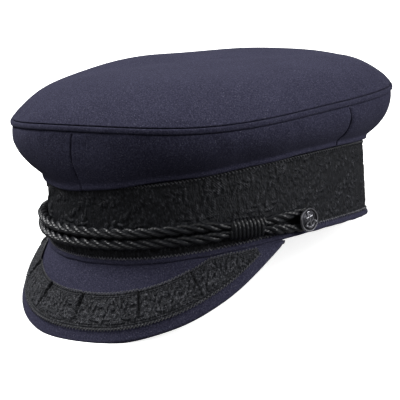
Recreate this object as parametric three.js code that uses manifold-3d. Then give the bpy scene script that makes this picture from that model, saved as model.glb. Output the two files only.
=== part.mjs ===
// A fisherman's cap: a soft wool crown on an upright band, with a cloth-covered peak,
// figured braid, and a twisted chin cord held by two sliders and two buttons.
//
// Millimetres, +Z up. The wearer faces -Y, and +X is the wearer's left. The cap is worked out
// in its own frame, whose origin is the middle of the band's hem, and then leans back
// until it rests on the rear of the hem and the front of the peak.
//
// "Turn" is the angle round the cap's oval: 0 at the front, a quarter turn at the wearer's left.

import * as THREE from 'three';
import { mergeVertices } from 'three/addons/utils/BufferGeometryUtils.js';
import Module from 'manifold-3d';

// Band and hem
const BAND_LENGTH = 207.5; // outside the braid, front to back
const BAND_WIDTH = 175;
const BAND_SQUARENESS = 2.2; // exponent of the oval: 2 is an ellipse
const BAND_HEIGHT = 46.5; // hem to the fold of the crown
const BAND_WALL = 2.4;
const BAND_TUCK = 3; // how far the band goes up inside the crown
const HEM_SADDLE = 4.9; // the hem dips by this at front and back, and rises by it at the sides
const HEM_STRIP = 4; // cloth that shows below the braid
const HEM_ROLL = 0.5; // the rolled hem stands this far outside the braid
const BRAID_THICKNESS = 1.2;

// Crown
const CROWN_LENGTH = 230; // along the welt
const CROWN_WIDTH = 204;
const CROWN_SQUARENESS = 2.56;
const CROWN_HEIGHT = 78; // hem to the middle of the welt
const CROWN_RISE = 4.6; // the welt is this much higher at the back, and lower at the front
const CROWN_SADDLE = 1;
const CROWN_CORNER = 0.9; // the welt dips by this at the four corners, and rises by it between them
const SIDE_FULLNESS = 2.3; // exponent of the sweep up the crown's side: higher is fuller below
const DOME_HEIGHT = 22.6; // at the middle, above the welt
const DOME_FULLNESS = 5.5; // exponent of the dome: higher is flatter in the middle
const CLOTH_WALL = 2;
const TOP_RINGS = [0.3, 0.58, 0.76, 0.88, 0.96, 1]; // outside of the top panel, as shares of its reach
const TOP_INNER_RINGS = [0.86, 0.62, 0.3];
const WELT_HEIGHT = 4;
const WELT_PROUD = 0.9; // the welt stands this far outside the crown's cloth
const WELT_DEPTH = 3;
const FOLD_STRIP = 3.2; // upright cloth above the fold, before the crown swells out
const FOLD_ROUND = 1.2; // the fold curls in by this towards the braid
const POUCH_DEPTH = 6.7; // the crown sags over the braid at the wearer's right front
const POUCH_TURN = -34; // degrees
const POUCH_SPREAD = 65; // degrees each way
const POUCH_STRIP = 0.15; // share of the sag that hangs upright
const SEAM_GROOVE = 0.9; // depth of the seams between the side panels
const SEAM_HALF_WIDTH = 2.2;
// The seams between the side panels: degrees of turn at the welt, and how much further at the fold
const CROWN_SEAMS = [
  { turn: -0.5, lean: -3 },
  { turn: 92.5, lean: 3.5 },
  { turn: 180, lean: 0 },
  { turn: 267.5, lean: -3.5 },
];

// Peak
const PEAK_HALF_TURN = 72; // degrees
const PEAK_REACH = 46.2; // down the slope at the front, root to edge
const PEAK_FULLNESS = 2.4;
const PEAK_TAPER = 1.26;
const PEAK_TIP = 1.5; // slope length left at the two ends
const PEAK_LEAN = 61; // degrees below level at the front
const PEAK_END_LEAN = 47; // degrees below level at the ends
const PEAK_WALL = 2.6;
const PEAK_CAMBER = 1.2;
const PEAK_ROOT_PROUD = 0.4; // the peak starts this far outside the hem
const PEAK_ROWS = [0, 0.25, 0.5, 0.75, 1]; // shares of the way down its slope

// Braid on the peak
const PEAK_RIM = 7.5; // bare cloth between the braid and the edge
const PEAK_BRAID_WIDTH = 21.5;
const PEAK_BRAID_THICKNESS = 1;
const PEAK_BRAID_END_TURN = 61; // degrees
const PLEAT_RISE = 0.9; // at the inner edge of the braid
const PLEAT_FADE = 0.7; // share of that rise lost by the outer edge
const PLEAT_SWELL = 3; // exponent of the rise towards a pleat: higher is more sudden
const PLEAT_STEP = 0.8; // degrees across which a pleat falls back
const PLEAT_TURNS = [-53, -36, -18, -1, 19, 38, 54]; // degrees

// Chin cord
const CORD_DIAMETER = 6.2;
const CORD_STRANDS = 3;
const CORD_LAY = 24; // length of one full twist
const CORD_LOBE = 0.2; // depth of the grooves between strands, as a share of the radius
const CORD_SPACING = 6.6; // between the middles of the two runs
const CORD_STEP = 2.6; // between its sections
// The line midway between the two runs: degrees of turn each way, and height above the hem
const CORD_ROUTE = [
  { turn: 0, height: 16 },
  { turn: 14, height: 15.9 },
  { turn: 28, height: 15.6 },
  { turn: 42, height: 14.8 },
  { turn: 51, height: 13.8 },
  { turn: 57, height: 12.9 },
  { turn: 63, height: 11.9 },
  { turn: 70, height: 10.6 },
];

// Sliders on the cord
const SLIDER_TURN = 57; // degrees
const SLIDER_LENGTH = 20;
const SLIDER_TURNS = 9; // windings along its length
const SLIDER_WALL = 1.5;
const SLIDER_END_WALL = 0.9;
const SLIDER_GROOVE = 0.5;
const SLIDER_PINCH = 0.7; // the cord inside is pressed to this share of its size
const SLIDER_SIDES = 12;
const SLIDER_FLATNESS = 0.8; // exponent of its oval section: lower is squarer
const SLIDER_TAPER = 4; // exponent of its narrowing: higher is nearer the ends
const SLIDER_BORE = [1, 0.33, -0.33, -1]; // rows of its bore, as shares of half its length
const SLIDER_CLEAR = 0.5; // degrees past its end where the cord begins to swell again
const SLIDER_EASE = 3; // degrees over which it does

// Buttons
const BUTTON_TURN = 79.8; // degrees
const BUTTON_HEIGHT = 9.3; // above the hem
const BUTTON_DIAMETER = 14;
const BUTTON_RIM = 1.1;
const BUTTON_EDGE = 1.5; // thickness at the rim
const BUTTON_DOME = 0.9; // rise of the face inside the rim
const BUTTON_SIDES = 20;
const SHANK_DIAMETER = 3.4;
const SHANK_PINCH = 0.78; // the cord is pressed to this share where it rounds the shank
const SHANK_EASE = 4; // degrees over which the cord narrows to that
const SHANK_APPROACH = 5; // degrees before the shank by which it has
const LOOP_ANGLES = [-90, -45, 0, 45, 90]; // degrees round the shank
const ANCHOR_HEIGHT = 8;
const ANCHOR_LINE = 1.1;
const ANCHOR_RELIEF = 0.45;
const ANCHOR_DEPTH = 1; // thickness of the anchor, most of it sunk in the button
const ANCHOR_STOCK = { width: 4.4, height: 1.6 }; // its crossbar, and how far that is above the middle
const ANCHOR_ARMS = { radius: 3, from: 200, to: 340 }; // its curved arms, in degrees

// Resting and fits
const REST_PRESS = 1; // the hem is flattened by this where the cap rests on it
const REST_EDGE_PRESS = 0.3; // the same for the peak's outer edge
const GAP = 0.3; // between neighbouring pieces
const COLUMNS = 64; // steps round the cap, a multiple of four
const PEAK_COLUMNS = 36;

// Colours, as the cloth, braid, cord and metal look in even light
const MATERIALS = {
  wool: new THREE.MeshStandardMaterial({ color: 0x2b2a40, roughness: 0.95, metalness: 0 }),
  braid: new THREE.MeshStandardMaterial({ color: 0x141518, roughness: 0.7, metalness: 0 }),
  cord: new THREE.MeshStandardMaterial({ color: 0x17181b, roughness: 0.5, metalness: 0 }),
  metal: new THREE.MeshStandardMaterial({ color: 0x55565c, roughness: 0.35, metalness: 1 }),
};

const FULL_TURN = 2 * Math.PI;
const radians = THREE.MathUtils.degToRad;
const lerp = THREE.MathUtils.lerp;
const signedPower = (value, power) => Math.sign(value) * Math.abs(value) ** power;
const range = (count, make) => Array.from({ length: count }, (_, i) => make(i));
const up = new THREE.Vector3(0, 0, 1);

// Lofting

// A closed body through rings that each have the same number of points. Either the last ring
// joins the first, or both ends are capped, each ring folding flat onto its own second half.
function loft(rings, joinsItself = false) {
  const count = rings[0].length;
  const index = [];
  const quad = (a, b, c, d) => index.push(a, b, c, a, c, d);
  const spans = joinsItself ? rings.length : rings.length - 1;
  for (let i = 0; i < spans; i++) {
    const here = i * count;
    const next = ((i + 1) % rings.length) * count;
    for (let j = 0; j < count; j++) {
      const after = (j + 1) % count;
      quad(here + j, next + j, next + after, here + after);
    }
  }
  if (!joinsItself) {
    const last = (rings.length - 1) * count;
    for (let j = 0; j < count / 2 - 1; j++) {
      const far = count - 1 - j;
      quad(j, j + 1, far - 1, far);
      quad(last + far, last + far - 1, last + j + 1, last + j);
    }
  }
  const geometry = new THREE.BufferGeometry();
  const positions = rings.flat().flatMap((point) => point.toArray());
  geometry.setAttribute('position', new THREE.Float32BufferAttribute(positions, 3));
  geometry.setIndex(index.filter((_, i) => !isSliver(index, i)));
  return facingOut(geometry);
}

// True for every corner of a triangle that names one point twice, as at the fold of a cap
function isSliver(index, i) {
  const [a, b, c] = index.slice(i - (i % 3), i - (i % 3) + 3);
  return a === b || b === c || c === a;
}

// Turns every triangle over if the body is inside out
function facingOut(geometry) {
  const { array } = geometry.getIndex();
  const position = geometry.getAttribute('position');
  const corner = (i) => new THREE.Vector3().fromBufferAttribute(position, array[i]);
  let volume = 0;
  for (let i = 0; i < array.length; i += 3) {
    volume += corner(i).dot(corner(i + 1).cross(corner(i + 2)));
  }
  if (volume < 0) array.reverse();
  return geometry;
}

// The cap's own surfaces

// A point of a flat oval
function ovalPoint(length, width, squareness, turn) {
  const power = 2 / squareness;
  const x = (width / 2) * signedPower(Math.sin(turn), power);
  const y = (-length / 2) * signedPower(Math.cos(turn), power);
  return new THREE.Vector3(x, y, 0);
}

// The level direction straight out of the band
function bandOutward(turn) {
  const power = 2 - 2 / BAND_SQUARENESS;
  const x = signedPower(Math.sin(turn), power) / (BAND_WIDTH / 2);
  const y = -signedPower(Math.cos(turn), power) / (BAND_LENGTH / 2);
  return new THREE.Vector3(x, y, 0).normalize();
}

// A point beside the band: "out" from the face of the braid, "height" above the hem
function bandPoint(turn, out, height) {
  const hem = -HEM_SADDLE * Math.cos(2 * turn);
  return ovalPoint(BAND_LENGTH, BAND_WIDTH, BAND_SQUARENESS, turn)
    .addScaledVector(bandOutward(turn), out)
    .setZ(hem + height);
}

// The middle of the welt
function weltPoint(turn) {
  const tilt = -CROWN_RISE * Math.cos(turn);
  const wave = CROWN_SADDLE * Math.cos(2 * turn) + CROWN_CORNER * Math.cos(4 * turn);
  return ovalPoint(CROWN_LENGTH, CROWN_WIDTH, CROWN_SQUARENESS, turn).setZ(CROWN_HEIGHT + tilt + wave);
}

// Heights up the round sweep of the crown's side, as shares of it
const SIDE_SHARES = [0, 0.18, 0.42, 0.7, 1];

// How far the crown sags over the braid
function pouchSag(turn) {
  const past = THREE.MathUtils.euclideanModulo(turn - radians(POUCH_TURN), FULL_TURN);
  const away = Math.min(past, FULL_TURN - past);
  const share = Math.min(1, away / radians(POUCH_SPREAD));
  return (POUCH_DEPTH * (1 + Math.cos(Math.PI * share))) / 2;
}

const turns = range(COLUMNS, (i) => (FULL_TURN * i) / COLUMNS);

// A closed wall all round the band, from a section of [out, height] corners
function bandRing(section) {
  return loft(
    turns.map((turn) => section.map(([out, height]) => bandPoint(turn, out, height))),
    true
  );
}

// Crown

// The top panel: a dome that drops ever faster towards the welt, the same cloth deep all over
function crownTop() {
  const seat = WELT_HEIGHT / 2 + GAP;
  const ring = (share, depth) =>
    turns.map((turn) => {
      const rim = weltPoint(turn);
      const base = lerp(CROWN_HEIGHT, rim.z, share) + seat - depth;
      const height = base + DOME_HEIGHT * (1 - share ** DOME_FULLNESS);
      return rim.clone().multiplyScalar(share).setZ(height);
    });
  const outside = TOP_RINGS.map((share) => ring(share, 0));
  // The inside starts where the dome is one wall higher than its seat, so the edge is level
  const innerRim = (1 - CLOTH_WALL / DOME_HEIGHT) ** (1 / DOME_FULLNESS);
  const inside = [innerRim, ...TOP_INNER_RINGS].map((share) => ring(share, CLOTH_WALL));
  return loft([...outside, ...inside]);
}

// The welt: a rounded strip that stands a little proud of the cloth above and below it
function crownWelt() {
  const half = WELT_HEIGHT / 2;
  const section = [
    [-WELT_DEPTH + WELT_PROUD, -half],
    [WELT_PROUD / 3, -half],
    [WELT_PROUD, 0],
    [WELT_PROUD / 3, half],
    [-WELT_DEPTH + WELT_PROUD, half],
  ];
  const rings = turns.map((turn) => {
    const middle = weltPoint(turn);
    const outward = middle.clone().setZ(0).normalize();
    return section.map(([out, height]) =>
      middle.clone().addScaledVector(outward, out).addScaledVector(up, height)
    );
  });
  return loft(rings, true);
}

// A section of the crown's side, up its outside and back down its inside: from the fold, up a
// short upright strip, and out in a round sweep to the welt. "Sink" sets its face back at a seam.
function crownSideSection(turn, sink) {
  const fold = bandPoint(turn, GAP + CLOTH_WALL, BAND_HEIGHT - pouchSag(turn));
  const rim = weltPoint(turn);
  const top = rim.z - WELT_HEIGHT / 2 - GAP;
  const bottom = fold.z + FOLD_STRIP + POUCH_STRIP * pouchSag(turn);
  const level = rim.clone().sub(fold).setZ(0);
  const swell = level.length();
  level.normalize();
  const profile = [new THREE.Vector2(0, fold.z), new THREE.Vector2(0, fold.z + FOLD_ROUND)];
  for (const share of SIDE_SHARES) {
    profile.push(new THREE.Vector2(swell * (1 - (1 - share) ** SIDE_FULLNESS), lerp(bottom, top, share)));
  }
  const place = (out, height) => fold.clone().addScaledVector(level, out).setZ(height);
  const outside = profile.map((point, i) => place(point.x - (i ? sink : FOLD_ROUND), point.y));
  const inside = profile.map((point, i) => {
    const before = profile[Math.max(i - 1, 0)];
    const after = profile[Math.min(i + 1, profile.length - 1)];
    const isEnd = i === 0 || i === profile.length - 1;
    const inward = isEnd ? new THREE.Vector2(-1, 0) : turnedInward(after.clone().sub(before));
    return place(point.x + CLOTH_WALL * inward.x, point.y + CLOTH_WALL * inward.y);
  });
  return [...outside, ...inside.reverse()];
}

// The direction to the inside of the crown, square to a line that runs up its side
function turnedInward(along) {
  return new THREE.Vector2(-along.y, along.x).normalize();
}

const crownRadius = (CROWN_LENGTH + CROWN_WIDTH) / 4; // half its mean size across

// One panel of the crown's side, between two seams that may lean. Its ends roll in at the seams.
function crownSide(quarter) {
  const from = CROWN_SEAMS[quarter];
  const next = CROWN_SEAMS[(quarter + 1) % CROWN_SEAMS.length];
  const to = next.turn > from.turn ? next : { turn: next.turn + 360, lean: next.lean };
  const seamTurn = (seam, height) => radians(seam.turn + seam.lean * (1 - height));
  const gapTurn = GAP / BAND_WIDTH; // half the gap, at the band
  const rollTurn = SEAM_HALF_WIDTH / crownRadius;
  const heights = [0, 0, ...SIDE_SHARES]; // both rows of the fold are at the foot
  const last = 2 * heights.length - 1;
  const column = (share, inset, sink) =>
    range(last + 1, (j) => {
      const height = heights[Math.min(j, last - j)];
      const turn = lerp(seamTurn(from, height) + inset, seamTurn(to, height) - inset, share);
      return crownSideSection(turn, sink)[j];
    });
  const steps = COLUMNS / 4;
  const middle = range(steps - 1, (i) => column((i + 1) / steps, 0, 0));
  return loft([
    column(0, gapTurn, SEAM_GROOVE),
    column(0, rollTurn, 0),
    ...middle,
    column(1, rollTurn, 0),
    column(1, gapTurn, SEAM_GROOVE),
  ]);
}

// Band

const hemFoot = HEM_ROLL / 3; // the underside of the hem reaches this far out

// The stiff band with its rolled hem
function headBand() {
  const face = -BRAID_THICKNESS - GAP;
  const inner = face - BAND_WALL;
  const top = BAND_HEIGHT + BAND_TUCK;
  return bandRing([
    [hemFoot, 0],
    [HEM_ROLL, HEM_STRIP / 3],
    [HEM_ROLL / 2, HEM_STRIP - GAP],
    [face, HEM_STRIP - GAP],
    [face, top],
    [inner, top],
    [inner, 0],
  ]);
}

// The braid round the band, its two edges a little thinner than its middle
function bandBraid() {
  const edge = BRAID_THICKNESS / 4;
  const bottom = HEM_STRIP;
  const top = BAND_HEIGHT - GAP;
  return bandRing([
    [-BRAID_THICKNESS, bottom],
    [-edge, bottom],
    [0, bottom + edge],
    [0, top - edge],
    [-edge, top],
    [-BRAID_THICKNESS, top],
  ]);
}

// Peak

// The peak's length down its slope, at a share (-1 to 1) of its half turn
function peakReach(share) {
  return PEAK_TIP + (PEAK_REACH - PEAK_TIP) * (1 - Math.abs(share) ** PEAK_FULLNESS) ** PEAK_TAPER;
}

// A point on the peak: "along" is the distance down its slope, "lift" the height off its face
function peakPoint(share, along, lift) {
  const turn = share * radians(PEAK_HALF_TURN);
  const lean = radians(lerp(PEAK_LEAN, PEAK_END_LEAN, share * share));
  const outward = bandOutward(turn);
  const camber = PEAK_CAMBER * Math.sin(Math.PI * THREE.MathUtils.clamp(along / peakReach(share), 0, 1));
  const out = along * Math.cos(lean) + (lift + camber) * Math.sin(lean);
  const fall = along * Math.sin(lean) - (lift + camber) * Math.cos(lean);
  return bandPoint(turn, hemFoot + PEAK_ROOT_PROUD, -GAP)
    .addScaledVector(outward, out)
    .addScaledVector(up, -fall);
}

// The peak hangs from the underside of the hem, one wall deep
function peak() {
  const rings = range(PEAK_COLUMNS + 1, (i) => {
    const share = (2 * i) / PEAK_COLUMNS - 1;
    const face = (lift) => PEAK_ROWS.map((row) => peakPoint(share, row * peakReach(share), lift));
    return [...face(0), ...face(-PEAK_WALL).reverse()];
  });
  return loft(rings);
}

// How far a pleated braid stands up, from 0 just past one pleat to 1 at the next
function pleatLift(turnDegrees) {
  const next = PLEAT_TURNS.findIndex((pleat) => pleat >= turnDegrees);
  if (next < 0) return 0;
  const start = next > 0 ? PLEAT_TURNS[next - 1] : -PEAK_BRAID_END_TURN;
  const share = (turnDegrees - start) / (PLEAT_TURNS[next] - start);
  return Math.max(0, share) ** PLEAT_SWELL;
}

// The braid on the peak, a wall laid on its face. Each pleat swells up and falls back in a step.
function peakBraid() {
  const end = PEAK_BRAID_END_TURN;
  const even = range(PEAK_COLUMNS + 1, (i) => lerp(-end, end, i / PEAK_COLUMNS));
  const isClear = (turn) => PLEAT_TURNS.every((pleat) => Math.abs(turn - pleat) > 2 * PLEAT_STEP);
  const steps = PLEAT_TURNS.flatMap((pleat) => [pleat, pleat + PLEAT_STEP]);
  const stations = [...even.filter(isClear), ...steps].sort((a, b) => a - b);
  const rings = stations.map((turnDegrees) => {
    const share = turnDegrees / PEAK_HALF_TURN;
    const reach = peakReach(share);
    const outer = reach - PEAK_RIM;
    const inner = Math.max(reach - PEAK_RIM - PEAK_BRAID_WIDTH, PEAK_BRAID_THICKNESS);
    const rise = PLEAT_RISE * pleatLift(turnDegrees);
    const across = (lift) => (row) => peakPoint(share, lerp(inner, outer, row), lift(row));
    const rows = [0, 0.5, 1];
    const face = rows.map(across((row) => GAP + PEAK_BRAID_THICKNESS + rise * (1 - PLEAT_FADE * row)));
    const back = rows.map(across(() => GAP));
    return [...face, ...back.reverse()];
  });
  return loft(rings);
}

// Chin cord

// Height of the line midway between the two runs, at a turn in degrees either way
function cordHeight(turnDegrees) {
  const away = Math.abs(turnDegrees);
  const next = CORD_ROUTE.findIndex((station) => station.turn >= away);
  if (next === 0) return CORD_ROUTE[0].height;
  const from = CORD_ROUTE[next - 1];
  const to = CORD_ROUTE[next];
  return lerp(from.height, to.height, (away - from.turn) / (to.turn - from.turn));
}

const cordRadius = CORD_DIAMETER / 2;
const loopRadius = SHANK_DIAMETER / 2 + GAP + cordRadius * SHANK_PINCH;
const sliderHalfTurn = THREE.MathUtils.radToDeg(SLIDER_LENGTH / BAND_WIDTH);

// 1 inside a slider, falling to 0 a little way outside it
function insideSlider(turnDegrees) {
  const away = Math.abs(Math.abs(turnDegrees) - SLIDER_TURN);
  const start = sliderHalfTurn + SLIDER_CLEAR;
  return 1 - THREE.MathUtils.smoothstep(away, start, start + SLIDER_EASE);
}

// The cord is pressed smaller inside the sliders and round the shanks
function cordSize(turnDegrees) {
  const end = BUTTON_TURN - SHANK_APPROACH;
  const nearShank = THREE.MathUtils.smoothstep(Math.abs(turnDegrees), end - SHANK_EASE, end);
  return 1 - (1 - SLIDER_PINCH) * insideSlider(turnDegrees) - (1 - SHANK_PINCH) * nearShank;
}

// The middle of the cord stands this far out from the braid: on it, or inside a slider's wall
function cordOut(turnDegrees) {
  const wall = (SLIDER_WALL + GAP) * insideSlider(turnDegrees);
  return GAP + wall + cordRadius * cordSize(turnDegrees);
}

// One closed loop: along above the peak, round one shank, back below, and round the other
function cordCurve() {
  const stations = CORD_ROUTE.map((station) => station.turn);
  const across = [...stations.slice(1).reverse().map((turn) => -turn), ...stations];
  const run = (side, order) =>
    order.map((turnDegrees) => {
      const size = cordSize(turnDegrees);
      const height = cordHeight(turnDegrees) + (side * CORD_SPACING * size) / 2;
      return bandPoint(radians(turnDegrees), cordOut(turnDegrees), height);
    });
  const bend = (side) =>
    LOOP_ANGLES.map((degrees) => {
      const angle = radians(degrees);
      const sideways = (loopRadius * Math.cos(angle) * side) / (BAND_WIDTH / 2);
      const height = BUTTON_HEIGHT + loopRadius * Math.sin(angle) * -side;
      return bandPoint(radians(BUTTON_TURN) * side + sideways, GAP + cordRadius * SHANK_PINCH, height);
    });
  const points = [...run(1, across), ...bend(1), ...run(-1, [...across].reverse()), ...bend(-1)];
  return new THREE.CatmullRomCurve3(points, true, 'centripetal');
}

// The turn, in degrees, at which a point beside the band lies
function turnOf(point) {
  const power = BAND_SQUARENESS / 2;
  const x = signedPower(point.x / BAND_WIDTH, power);
  const y = signedPower(-point.y / BAND_LENGTH, power);
  return THREE.MathUtils.radToDeg(Math.atan2(x, y));
}

// The cord: a section with one lobe to each strand, turned as it goes along the curve
function chinCord() {
  const curve = cordCurve();
  const length = curve.getLength();
  const steps = Math.round(length / CORD_STEP);
  const twists = Math.round(length / CORD_LAY);
  const corners = 2 * CORD_STRANDS;
  const rings = range(steps, (i) => {
    const share = i / steps;
    const middle = curve.getPointAt(share);
    const along = curve.getTangentAt(share);
    const turnDegrees = turnOf(middle);
    const outward = bandOutward(radians(turnDegrees));
    const side = outward.clone().cross(along).normalize();
    const over = along.clone().cross(side).normalize();
    const size = cordSize(turnDegrees);
    return range(corners, (j) => {
      const angle = FULL_TURN * (j / corners + share * twists);
      const radius = cordRadius * size * (j % 2 ? 1 - CORD_LOBE : 1);
      return middle
        .clone()
        .addScaledVector(side, radius * Math.cos(angle))
        .addScaledVector(over, radius * Math.sin(angle));
    });
  });
  return loft(rings, true);
}

// A slider: a sleeve of whipped windings round both runs, thinner at its two ends
function cordSlider(side) {
  const squeezed = cordRadius * SLIDER_PINCH;
  const hole = { out: squeezed + GAP, tall: (CORD_SPACING * SLIDER_PINCH) / 2 + squeezed + GAP };
  const rows = range(2 * SLIDER_TURNS + 1, (i) => {
    const share = i / SLIDER_TURNS - 1;
    const body = lerp(SLIDER_WALL, SLIDER_END_WALL, share ** SLIDER_TAPER);
    return { share, wall: body - (i % 2 ? 0 : SLIDER_GROOVE) };
  });
  const bore = SLIDER_BORE.map((share) => ({ share, wall: 0 }));
  const rings = range(SLIDER_SIDES, (i) => {
    const angle = (FULL_TURN * i) / SLIDER_SIDES;
    return [...rows, ...bore].map(({ share, wall }) => {
      const turn = side * (radians(SLIDER_TURN) + (share * SLIDER_LENGTH) / BAND_WIDTH);
      const turnDegrees = THREE.MathUtils.radToDeg(turn);
      const out = (hole.out + wall) * signedPower(Math.cos(angle), SLIDER_FLATNESS);
      const height = (hole.tall + wall) * signedPower(Math.sin(angle), SLIDER_FLATNESS);
      return bandPoint(turn, cordOut(SLIDER_TURN) + out, cordHeight(turnDegrees) + height);
    });
  });
  return loft(rings, true);
}

// Buttons

const wasm = await Module();
wasm.setup();

function toSolid(geometry) {
  const bare = new THREE.BufferGeometry();
  bare.setAttribute('position', geometry.getAttribute('position'));
  if (geometry.getIndex()) bare.setIndex(geometry.getIndex());
  const merged = mergeVertices(bare, 1e-4);
  const vertProperties = Float32Array.from(merged.getAttribute('position').array);
  const triVerts = Uint32Array.from(merged.getIndex().array);
  return new wasm.Manifold(new wasm.Mesh({ numProp: 3, vertProperties, triVerts }));
}

function fromSolid(solid) {
  const mesh = solid.getMesh();
  const geometry = new THREE.BufferGeometry();
  geometry.setAttribute('position', new THREE.Float32BufferAttribute(mesh.vertProperties, 3));
  geometry.setIndex([...mesh.triVerts]);
  return geometry;
}

// The outline of a plain anchor, as strips that overlap: ring, stock, shank and curved arms
function anchorSolids() {
  const half = ANCHOR_HEIGHT / 2;
  const line = ANCHOR_LINE / 2;
  const from = radians(ANCHOR_ARMS.from);
  const to = radians(ANCHOR_ARMS.to);
  const bar = (width, height, y) => new THREE.BoxGeometry(width, height, ANCHOR_DEPTH).translate(0, y, 0);
  const arms = new THREE.Shape();
  arms.absarc(0, 0, ANCHOR_ARMS.radius + line, from, to, false);
  arms.absarc(0, 0, ANCHOR_ARMS.radius - line, to, from, true);
  const arc = new THREE.ExtrudeGeometry(arms, { depth: ANCHOR_DEPTH, bevelEnabled: false, curveSegments: 6 });
  arc.translate(0, ANCHOR_ARMS.radius + line - half, -ANCHOR_DEPTH / 2);
  const ring = new THREE.CylinderGeometry(ANCHOR_LINE, ANCHOR_LINE, ANCHOR_DEPTH, 8);
  ring.rotateX(Math.PI / 2).translate(0, half - ANCHOR_LINE, 0);
  const shank = bar(ANCHOR_LINE, ANCHOR_HEIGHT - 3 * line, -line);
  return [shank, bar(ANCHOR_STOCK.width, ANCHOR_LINE, ANCHOR_STOCK.height), arc, ring];
}

// A button with its axis along +Z: the shank, the round head with its rim, and the anchor on it
function buttonShape() {
  const radius = BUTTON_DIAMETER / 2;
  const shank = SHANK_DIAMETER / 2;
  const under = 2 * GAP + CORD_DIAMETER * SHANK_PINCH;
  const rimTop = under + BUTTON_EDGE;
  const ground = rimTop - BUTTON_RIM / 2;
  const face = (share) => [(radius - BUTTON_RIM) * share, ground + BUTTON_DOME * (1 - share * share)];
  const profile = [
    [0, 0],
    [shank, 0],
    [shank, under],
    [radius - BUTTON_RIM / 2, under],
    [radius, under + BUTTON_EDGE / 2],
    [radius - BUTTON_RIM / 3, rimTop],
    face(1),
    face(0.5),
    face(0),
  ].map(([out, height]) => new THREE.Vector2(out, height));
  const body = new THREE.LatheGeometry(profile, BUTTON_SIDES);
  body.rotateX(Math.PI / 2);
  let solid = toSolid(body);
  for (const piece of anchorSolids()) {
    piece.translate(0, 0, ground + BUTTON_DOME + ANCHOR_RELIEF - ANCHOR_DEPTH / 2);
    solid = solid.add(toSolid(piece));
  }
  return fromSolid(solid);
}

// Assembly

const cap = new THREE.Group();

function addPiece(name, geometry, material) {
  const mesh = new THREE.Mesh(geometry, material);
  mesh.name = name;
  cap.add(mesh);
  return mesh;
}

// A button sits on the braid with its axis straight out of the band and its anchor upright
function addButton(name, side) {
  const turn = side * radians(BUTTON_TURN);
  const outward = bandOutward(turn);
  const across = up.clone().cross(outward);
  const button = addPiece(name, buttonShape(), MATERIALS.metal);
  button.position.copy(bandPoint(turn, GAP, BUTTON_HEIGHT));
  button.quaternion.setFromRotationMatrix(new THREE.Matrix4().makeBasis(across, up, outward));
}

const { wool, braid, cord } = MATERIALS;
addPiece('crown_top', crownTop(), wool);
addPiece('crown_welt', crownWelt(), wool);
addPiece('crown_side_front_left', crownSide(0), wool);
addPiece('crown_side_back_left', crownSide(1), wool);
addPiece('crown_side_back_right', crownSide(2), wool);
addPiece('crown_side_front_right', crownSide(3), wool);
const band = addPiece('head_band', headBand(), wool);
addPiece('band_braid', bandBraid(), braid);
const peakPiece = addPiece('peak', peak(), wool);
addPiece('peak_braid', peakBraid(), braid);
addPiece('chin_cord', chinCord(), cord);
addPiece('cord_slider_left', cordSlider(1), cord);
addPiece('cord_slider_right', cordSlider(-1), cord);
addButton('button_left', 1);
addButton('button_right', -1);

// Resting

// The cap leans back on a line from the rear of the hem to the front of the peak
const rearContact = bandPoint(Math.PI, hemFoot, REST_PRESS);
const frontContact = peakPoint(0, PEAK_REACH, 0).add(new THREE.Vector3(0, 0, REST_EDGE_PRESS));
const restLean = Math.atan2(rearContact.z - frontContact.z, rearContact.y - frontContact.y);
const floorNormal = new THREE.Vector3(0, -Math.sin(restLean), Math.cos(restLean));

// Cloth below the floor is flattened onto it
function settle(mesh) {
  const position = mesh.geometry.getAttribute('position');
  const point = new THREE.Vector3();
  for (let i = 0; i < position.count; i++) {
    point.fromBufferAttribute(position, i);
    const depth = floorNormal.dot(rearContact.clone().sub(point));
    if (depth > 0) point.addScaledVector(floorNormal, depth);
    position.setXYZ(i, point.x, point.y, point.z);
  }
}

settle(band);
settle(peakPiece);

cap.rotation.x = -restLean;
const part = new THREE.Group();
part.add(cap);
const box = new THREE.Box3().setFromObject(part, true);
const middle = box.getCenter(new THREE.Vector3());
cap.position.set(-middle.x, -middle.y, -box.min.z);

export default part;
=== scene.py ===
"""A navy wool fisherman's cap with figured braid, a twisted chin cord, and metal buttons.

Sizes are in metres. Each surface is worked out in the cap's own frame, whose origin is the
middle of the hem. The wearer faces -Y there, and +X is the wearer's left. It then leans back
onto the floor as the cap rests. "Turn" is the angle round the oval, 0 at the front and a
quarter turn at the wearer's left.
"""

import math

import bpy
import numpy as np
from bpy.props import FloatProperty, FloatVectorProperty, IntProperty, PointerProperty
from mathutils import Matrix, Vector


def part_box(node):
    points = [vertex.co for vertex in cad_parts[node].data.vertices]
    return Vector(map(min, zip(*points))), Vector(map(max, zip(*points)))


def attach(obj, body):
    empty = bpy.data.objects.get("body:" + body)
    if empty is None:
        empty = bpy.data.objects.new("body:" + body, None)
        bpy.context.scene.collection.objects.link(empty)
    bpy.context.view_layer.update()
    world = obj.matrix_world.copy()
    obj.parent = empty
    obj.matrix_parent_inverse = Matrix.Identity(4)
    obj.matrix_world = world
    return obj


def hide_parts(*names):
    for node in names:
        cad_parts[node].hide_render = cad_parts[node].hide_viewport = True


bl_info = {
    "name": "Fisherman's cap",
    "version": (1, 0, 0),
    "blender": (4, 5, 0),
    "location": "View3D > Sidebar > Cap",
    "description": "Models a wool cap with figured braid, a twisted chin cord and metal buttons",
    "category": "Add Mesh",
}

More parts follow.
